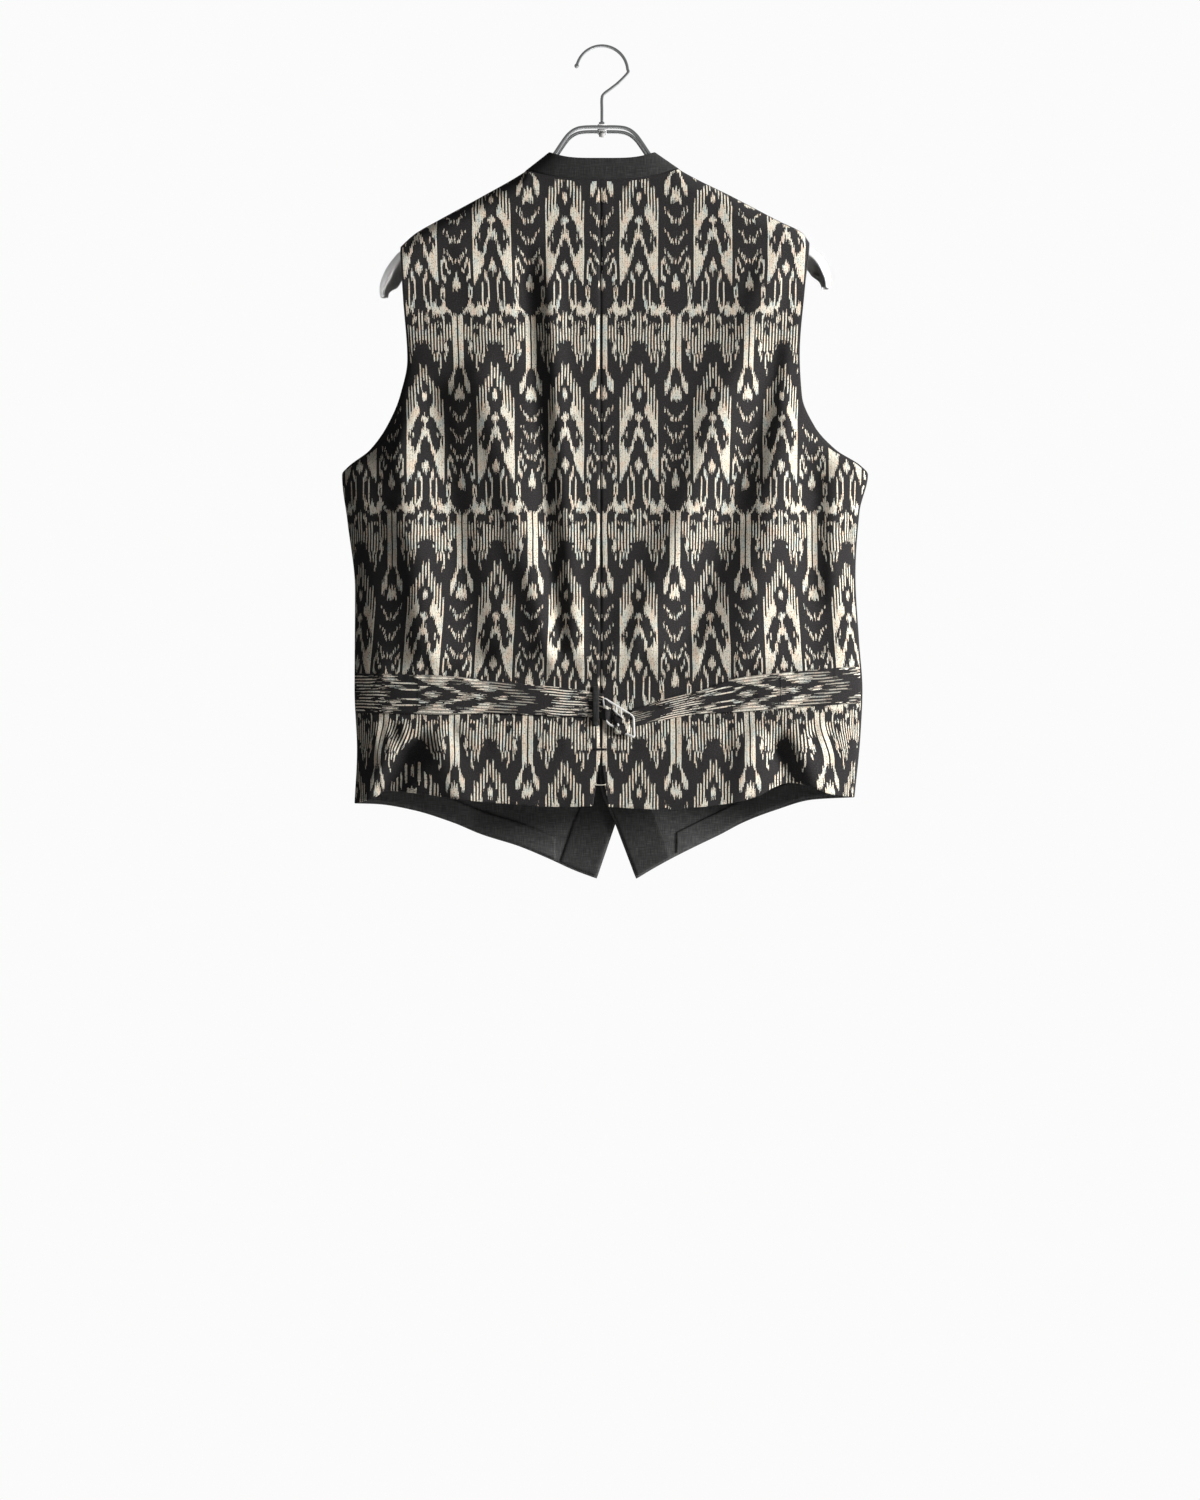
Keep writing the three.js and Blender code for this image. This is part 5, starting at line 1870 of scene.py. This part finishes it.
@dataclass
class HandStitching:
    """The stitches that show on the back: bar tack, vent basting and the straps' tacks."""

    left: BackPanel
    right: BackPanel
    tack_z: float = -702
    tack_half: float = 5.8
    basting_z: float = -736.7
    basting_from: float = -3.6
    basting_to: float = 8.0
    strap_tacks: tuple[tuple[float, float, float], ...] = ((182, -632, -664), (-177, -629, -658))
    tack_step: float = 0.55
    tack_thread: float = 0.27
    tack_section: tuple[tuple[float, float], ...] = ((-1.1, -0.1), (-0.5, 0.75), (0.5, 0.75), (1.1, -0.1))
    basting_thread: float = 0.36
    stitch: float = 1.5
    stitch_gap: float = 1.1
    stitch_thread: float = 0.26

    def on_back(self, x: float, z: float, off: float) -> tuple[float, float, float]:
        """A place that distance off the back's face."""
        back = self.left if x > self.left.form.back_seam_x else self.right
        return x, float(back.depth(np.array(x), np.array(z))) + off, z

    def bar_tack(self) -> Solid:
        """A satin-stitched bar across the top of the vent.

        Returns:
            The bar's stitches.
        """
        middle = self.left.form.back_seam_x
        parts = []
        for x in np.arange(-self.tack_half, self.tack_half + 0.1, self.tack_step):
            path = [self.on_back(middle + x, self.tack_z + dz, off) for dz, off in self.tack_section]
            parts.append(tube(smooth_path(path, 3), self.tack_thread, 6))
        return joined(parts)

    def basting(self) -> Solid:
        """The loose thread that still holds the vent's edges together.

        Returns:
            The thread.
        """
        a, b = self.basting_from, self.basting_to
        path = [self.on_back(a, self.basting_z, -0.6), self.on_back(a + 0.4, self.basting_z, 0.4)]
        path += [(mix(a, b, t), path[1][1] + 0.15, self.basting_z - 0.35 * math.sin(math.pi * t))
                 for t in (0.3, 0.5, 0.7)]
        path += [self.on_back(b - 0.4, self.basting_z, 0.4), self.on_back(b, self.basting_z, -0.6)]
        return tube(smooth_path(path, 5), self.basting_thread, 8)

    def build(self) -> list[bpy.types.Object]:
        """Makes the dark stitches as one piece and the cream basting as another.

        Returns:
            The two pieces.
        """
        sewn = [self.bar_tack()]
        for x, top, bottom in self.strap_tacks:
            path = np.array([self.on_back(x, z, 2.1) for z in np.linspace(top, bottom, 20)])
            sewn.append(stitches(path, np.array([0, 1, 0]), self.stitch, self.stitch_gap,
                                 self.stitch_thread))
        dark = make_object("tack_stitches", *joined(sewn))
        light = make_object("vent_basting", *self.basting())
        return [dress(dark, BLACK_THREAD, Slot.BACK), dress(light, CREAM_THREAD, Slot.BACK)]


@dataclass
class Hanger:
    """The metal hanger: hook, collar, bridge with its nut, two neck bars and two wide arms."""

    form: BodyForm
    wire: float = 1.6
    hook_radius: float = 25.8
    hook_from: float = -3
    hook_to: float = 167
    ball: float = 2.5
    stem: tuple[tuple[float, float], ...] = (
        (0, -74.3), (0, -62), (0, -51), (-2.2, -46.4), (-9.5, -40.8), (-17, -34.8))
    bar: float = 1.9
    bar_spread: float = 13
    neck_bar: tuple[tuple[float, float], ...] = (
        (0, -82), (18, -82.3), (27, -84.6), (34, -90), (40, -98), (46, -107), (51.5, -114.5),
        (55.5, -119.5))
    plate: float = 2
    arm_start: float = 62
    arm_straight_to: float = 190
    under_cloth: float = 2.9
    neck_drop: tuple[float, float] = (2, 50)
    arm_wide: tuple[float, float] = (16.5, 21.5)
    arm_deep: tuple[float, float] = (9, 15)
    near_and_far: tuple[float, float] = (0.8, 1.3)
    end_from: float = 0.86
    end_keep: float = 0.18
    collar: tuple[tuple[float, float], ...] = (
        (2.2, -78.2), (3.0, -78.0), (3.2, -77.4), (3.2, -75.4), (3.0, -74.8), (1.7, -74.6))
    nut: tuple[tuple[float, float], ...] = (
        (2.2, -89.6), (2.9, -89.3), (3.0, -88.8), (3.0, -86.3), (2.7, -85.8))
    bridge_edge: float = 1.0
    bridge_ends: tuple[tuple[float, float], ...] = (
        (-1, 0.9), (-0.96, 0.97), (-0.9, 1), (0.9, 1), (0.96, 0.97), (1, 0.9))
    tips: dict[Side, tuple[tuple[float, float], ...]] = field(default_factory=lambda: {
        Side.LEFT: ((201, -203.5), (208, -210.5), (216.5, -222.5), (221.5, -235), (222.5, -243),
                    (221.5, -250)),
        Side.RIGHT: ((207, -199.5), (213.5, -203.5), (221, -210.5), (226.5, -220), (228.5, -230),
                     (227.5, -241))})

    def hook(self) -> Solid:
        """The hook's wire with the ball on its end.

        Returns:
            Both as one solid.
        """
        turns = np.radians(np.linspace(self.hook_from, self.hook_to, 60))
        ring = [(-self.hook_radius * math.cos(t), 0, self.hook_radius * (math.sin(t) - 1) + self.wire)
                for t in turns]
        places = [(x, 0, z) for x, z in self.stem] + ring[::3]
        line = smooth_path([*places, ring[-1]], 8)
        ball = lathe([(self.ball * math.sin(a), -self.ball * math.cos(a))
                      for a in np.linspace(0.05, math.pi - 0.05, 24)], 32)
        return joined([tube(line, self.wire, 20), (ball[0] + np.array(ring[-1]), ball[1])])

    def neck(self, sign: int) -> Solid:
        """One bar over the neck.

        Args:
            sign: 1 for the bar at the back and -1 for the front.
        Returns:
            The bar.
        """
        both = [(-x, z) for x, z in reversed(self.neck_bar[1:])] + list(self.neck_bar)
        line = smooth_path([(x, sign * self.bar_spread, z) for x, z in both], 8)
        return tube(line, self.bar, 20)

    def arm(self, side: Side) -> bpy.types.Object:
        """One arched arm that widens to the shoulder and droops at its round end.

        Args:
            side: Which arm.
        Returns:
            The piece.
        """
        sign = side.value
        x = np.linspace(self.arm_start, self.arm_straight_to, 10)[:-1]
        drop = self.neck_drop[0] * (1 - smooth((x - self.arm_start) / self.neck_drop[1]))
        z = self.form.shoulder[side](x) - self.under_cloth - drop
        places = [(sign * a, 0, b) for a, b in (*zip(x, z), *self.tips[side])]
        spine = evenly_spaced(smooth_path(places, 10), 110)
        ahead = np.gradient(spine, axis=0)
        up = np.column_stack([-ahead[:, 2] * sign, np.zeros(len(ahead)), ahead[:, 0] * sign])
        up /= np.linalg.norm(up, axis=1, keepdims=True)
        share = np.linspace(0, 1, len(spine))
        closing = smooth((share - self.end_from) / (1 - self.end_from))
        taper = np.sqrt(1 - (1 - self.end_keep) * closing**2)
        wide = mix(*self.arm_wide, smooth(share * 2)) * taper
        deep = mix(*self.arm_deep, smooth(share * 2)) * taper
        turn = np.radians(np.linspace(-80, 80, 41))
        deep = deep[:, None] * mix(self.near_and_far[1], self.near_and_far[0], smooth(turn + 0.5))
        points = spine[:, None] - (deep * (1 - np.cos(turn)))[..., None] * up[:, None]
        points[..., 1] = wide[:, None] * np.sin(turn)
        threads = points[..., :2]
        piece = ClothGrid(points, threads, (sign * 0.3, 0, 1)).shell(f"{side.word}_arm_plate", self.plate)
        return dress(piece, SATIN, Slot.CHROME, f"arm_{side.word}")

    def bridge(self) -> Solid:
        """The block that joins the neck bars, with rounded edges.

        Returns:
            The block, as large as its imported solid.
        """
        low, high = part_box("bridge")
        half = np.array([*(high - low) / MM]) / 2
        middle = np.array([*(high + low) / 2 / MM])
        edge = self.bridge_edge
        corners = ((1, 1, (0, 45, 90)), (-1, 1, (90, 45, 0)), (-1, -1, (0, 45, 90)), (1, -1, (90, 45, 0)))
        outline = [(sx * (half[0] - edge * (1 - math.cos(a))), sz * (half[2] - edge * (1 - math.sin(a))))
                   for sx, sz, turns in corners for a in np.radians(turns)]
        rings = [np.array([(x * shrink, -share * half[1], z * shrink) for x, z in outline])
                 for share, shrink in self.bridge_ends]
        return np.vstack(rings) + middle, rings_to_faces(len(rings), len(outline))

    def fittings(self) -> list[bpy.types.Object]:
        """The hook's collar, the nut under the bridge and the bridge itself.

        Returns:
            The three pieces.
        """
        bridge = make_object("bridge_block_pale", *self.bridge())
        collar = make_object("collar_ring", *lathe(self.collar, 36))
        nut = make_object("bridge_nut", *lathe(self.nut, 6))
        return [dress(collar, CHROME, Slot.CHROME, "hook_collar"),
                dress(nut, BUCKLE_STEEL, Slot.CHROME, "hook_nut"),
                dress(bridge, PALE, Slot.BRIDGE, "bridge")]

    def build(self) -> list[bpy.types.Object]:
        """Makes the whole hanger.

        Returns:
            Its pieces.
        """
        made = [dress(make_object("hook_wire", *self.hook()), CHROME, Slot.CHROME, "hook")]
        for sign, word in ((1, "back"), (-1, "front")):
            bar = make_object(f"{word}_bar_round", *self.neck(sign))
            made.append(dress(bar, CHROME, Slot.CHROME, f"neck_bar_{word}"))
        return made + [self.arm(side) for side in Side] + self.fittings()


@dataclass(frozen=True)
class Lamp:
    """A square soft light: its place and aim, its side in metres, its watts and its spread."""

    name: str
    place: tuple[float, float, float]
    size: float
    power: float
    aim: tuple[float, float, float] = (0, 0, -0.46)
    spread: float = 180

    def build(self) -> None:
        """Adds the light, which neither the camera nor a mirror sees."""
        data = bpy.data.lights.new(self.name, "AREA")
        data.size = self.size
        data.energy = self.power
        data.spread = math.radians(self.spread)
        made = bpy.data.objects.new(self.name, data)
        made.location = self.place
        made.rotation_euler = (Vector(self.aim) - Vector(self.place)).to_track_quat("-Z", "Y").to_euler()
        made.visible_camera = made.visible_glossy = False
        bpy.context.scene.collection.objects.link(made)


@dataclass
class Studio:
    """Pale floor, soft light from the garment's right and a camera behind it."""

    camera_place: tuple[float, float, float] = (0.002, 3.3, -0.7025)
    lens: float = 79.2
    floor_height: float = -1.75
    floor_half: float = 1.15
    backdrop: float = 0.965
    ambient: float = 0.20
    room: tuple[tuple[float, float], ...] = (
        (0.0, 0.10), (0.42, 0.22), (0.60, 0.5), (0.80, 1.0), (1.0, 1.9))
    walls: tuple[tuple[float, float], ...] = (
        (0.0, 0.14), (0.4, 0.16), (0.5, 0.21), (0.80, 0.25), (0.87, 0.5), (0.94, 1.0))
    sweep: tuple[tuple[float, float], ...] = ((0.0, 0.0), (0.74, 0.0), (0.84, 0.9), (1.0, 1.0))
    lamps: tuple[Lamp, ...] = (
        Lamp("key", (-3.6, 1.6, 0.15), 1.1, 440),
        Lamp("fill", (-0.3, 2.9, 0.5), 0.8, 6),
        Lamp("gridded_left", (1.9, 1.3, -1.3), 0.05, 0.032, (0.235, 0, -0.228), 3),
        Lamp("gridded_right", (-1.7, 1.5, -1.3), 0.05, 0.075, (-0.238, 0, -0.212), 3),
        Lamp("front_side", (-1.2, -2.2, 0.2), 1.6, 45))

    @staticmethod
    def glow(graph: Graph, way: Value, aim: tuple[float, float, float],
             stops: Sequence[tuple[float, float]]) -> Value:
        """Lights the room by direction.

        Args:
            graph: The world's nodes.
            way: The direction that is looked in.
            aim: The direction where the ramp ends.
            stops: The ramp's stops.
        Returns:
            The light that comes from there.
        """
        dot = graph.add("ShaderNodeVectorMath", {"operation": "DOT_PRODUCT"}, {0: way, 1: aim}, 1)
        return graph.add("ShaderNodeValToRGB", {"stops": stops}, {0: dot * 0.5 + 0.5})

    def world(self) -> None:
        """White behind everything, and a dim room that is brighter to the right and above."""
        world = bpy.data.worlds.new("studio")
        world.use_nodes = True
        graph = Graph(world.node_tree)
        way = graph.add("ShaderNodeTexCoord", None, None, "Generated")
        room = self.glow(graph, way, (-0.82, 0.35, 0.45), self.room)
        seen = graph.add("ShaderNodeLightPath", None, None, "Is Camera Ray")
        mirrored = Value(graph, seen.socket.node.outputs["Is Glossy Ray"])
        below = self.glow(graph, way, (-0.6, 0.0, -0.8), self.walls)
        behind = self.glow(graph, way, (-0.6, -0.8, 0.0), self.sweep)
        walls = graph.blend(1.0, below, behind, "LIGHTEN")
        dim = graph.blend(1.0, room, (self.ambient,) * 3, "MULTIPLY")
        colour = graph.blend(mirrored, dim, walls)
        colour = graph.blend(seen, colour, (self.backdrop,) * 3)
        graph.tree.links.new(colour.socket, world.node_tree.nodes["Background"].inputs["Color"])
        bpy.context.scene.world = world

    def floor(self) -> None:
        """A plain pale floor with a soft mottle."""
        h, z = self.floor_half / MM, self.floor_height / MM
        corners = [(-h, -h, z), (h, -h, z), (h, h, z), (-h, h, z)]
        made = make_object("studio_floor", np.array(corners), [[0, 1, 2, 3]])
        finish = Moulded("pale_floor", 0.7, light=(0.82, 0.82, 0.82), dark=(0.78, 0.78, 0.78), streak=3.0)
        made.data.materials.append(finish.material())

    def camera(self) -> None:
        """The camera, square to the back and as far off as in the photograph."""
        data = bpy.data.cameras.new("camera")
        data.lens, data.sensor_width = self.lens, 36
        made = bpy.data.objects.new("camera", data)
        made.location = self.camera_place
        made.rotation_euler = (math.radians(90), 0, math.radians(180))
        bpy.context.scene.collection.objects.link(made)
        bpy.context.scene.camera = made

    def build(self) -> None:
        """Sets up the view, the floor and the light."""
        self.camera()
        self.world()
        self.floor()
        for lamp in self.lamps:
            lamp.build()
        bpy.context.scene.view_settings.view_transform = "Standard"


def main() -> None:
    """Builds the waistcoat from the inside out, then its hanger and the studio."""
    logging.basicConfig(level=logging.INFO, format="%(name)s: %(message)s")
    Studio().build()
    form = BodyForm()
    creases = Creases(form)
    cuts = {Side.LEFT: (0.268, 0.652), Side.RIGHT: (0.274, 0.655)}
    backs = {side: BackPanel(form, side, creases=creases, flat=cuts[side]) for side in Side}
    fronts = {side: FrontPanel(form, side) for side in Side}
    for side in Side:
        backs[side].build()
        fronts[side].build()
        Facings(fronts[side]).build()
    NeckBand(form).build()
    BeltStrap(
        backs[Side.LEFT],
        top=Curve(((-1, -647), (29, -642.2), (60, -639.2), (120, -633.3), (160, -629.3), (245, -626.5))),
        bottom=Curve(((-1, -669.5), (29, -669.5), (60, -668), (120, -666), (160, -667), (245, -665))),
        end=-1, fork_x=19, flat=(0.038, 0.247),
    ).build()
    BeltStrap(
        backs[Side.RIGHT],
        top=Curve(((28.4, -663), (36, -661), (67, -651), (97, -644), (120, -635.7), (143, -630.3),
                   (182, -626.3), (258, -619))),
        bottom=Curve(((28.4, -680), (36, -678), (67, -671.3), (97, -666.4), (120, -665.4),
                      (143, -664), (182, -660.7), (258, -655.5))),
        end=28.4, fork_x=-293, flat=(0.034, 0.232), short_of_side=2.6,
        crumple=folds_from(((-165, -640, -60, -658, 1.6, 5, 3), (-150, -652, -70, -664, -1.4, 4, 3),
                            (-118, -642, -40, -668, 1.1, 3, 3), (-140, -658, -96, -660, 1.2, 3, 3))),
    ).build()
    KeeperLoop(backs[Side.LEFT]).build()
    Buckle(backs[Side.LEFT], backs[Side.RIGHT]).build()
    ButtonRow(fronts[Side.LEFT]).build()
    HandStitching(backs[Side.LEFT], backs[Side.RIGHT]).build()
    Hanger(form).build()


if __name__ == "__main__":
    main()
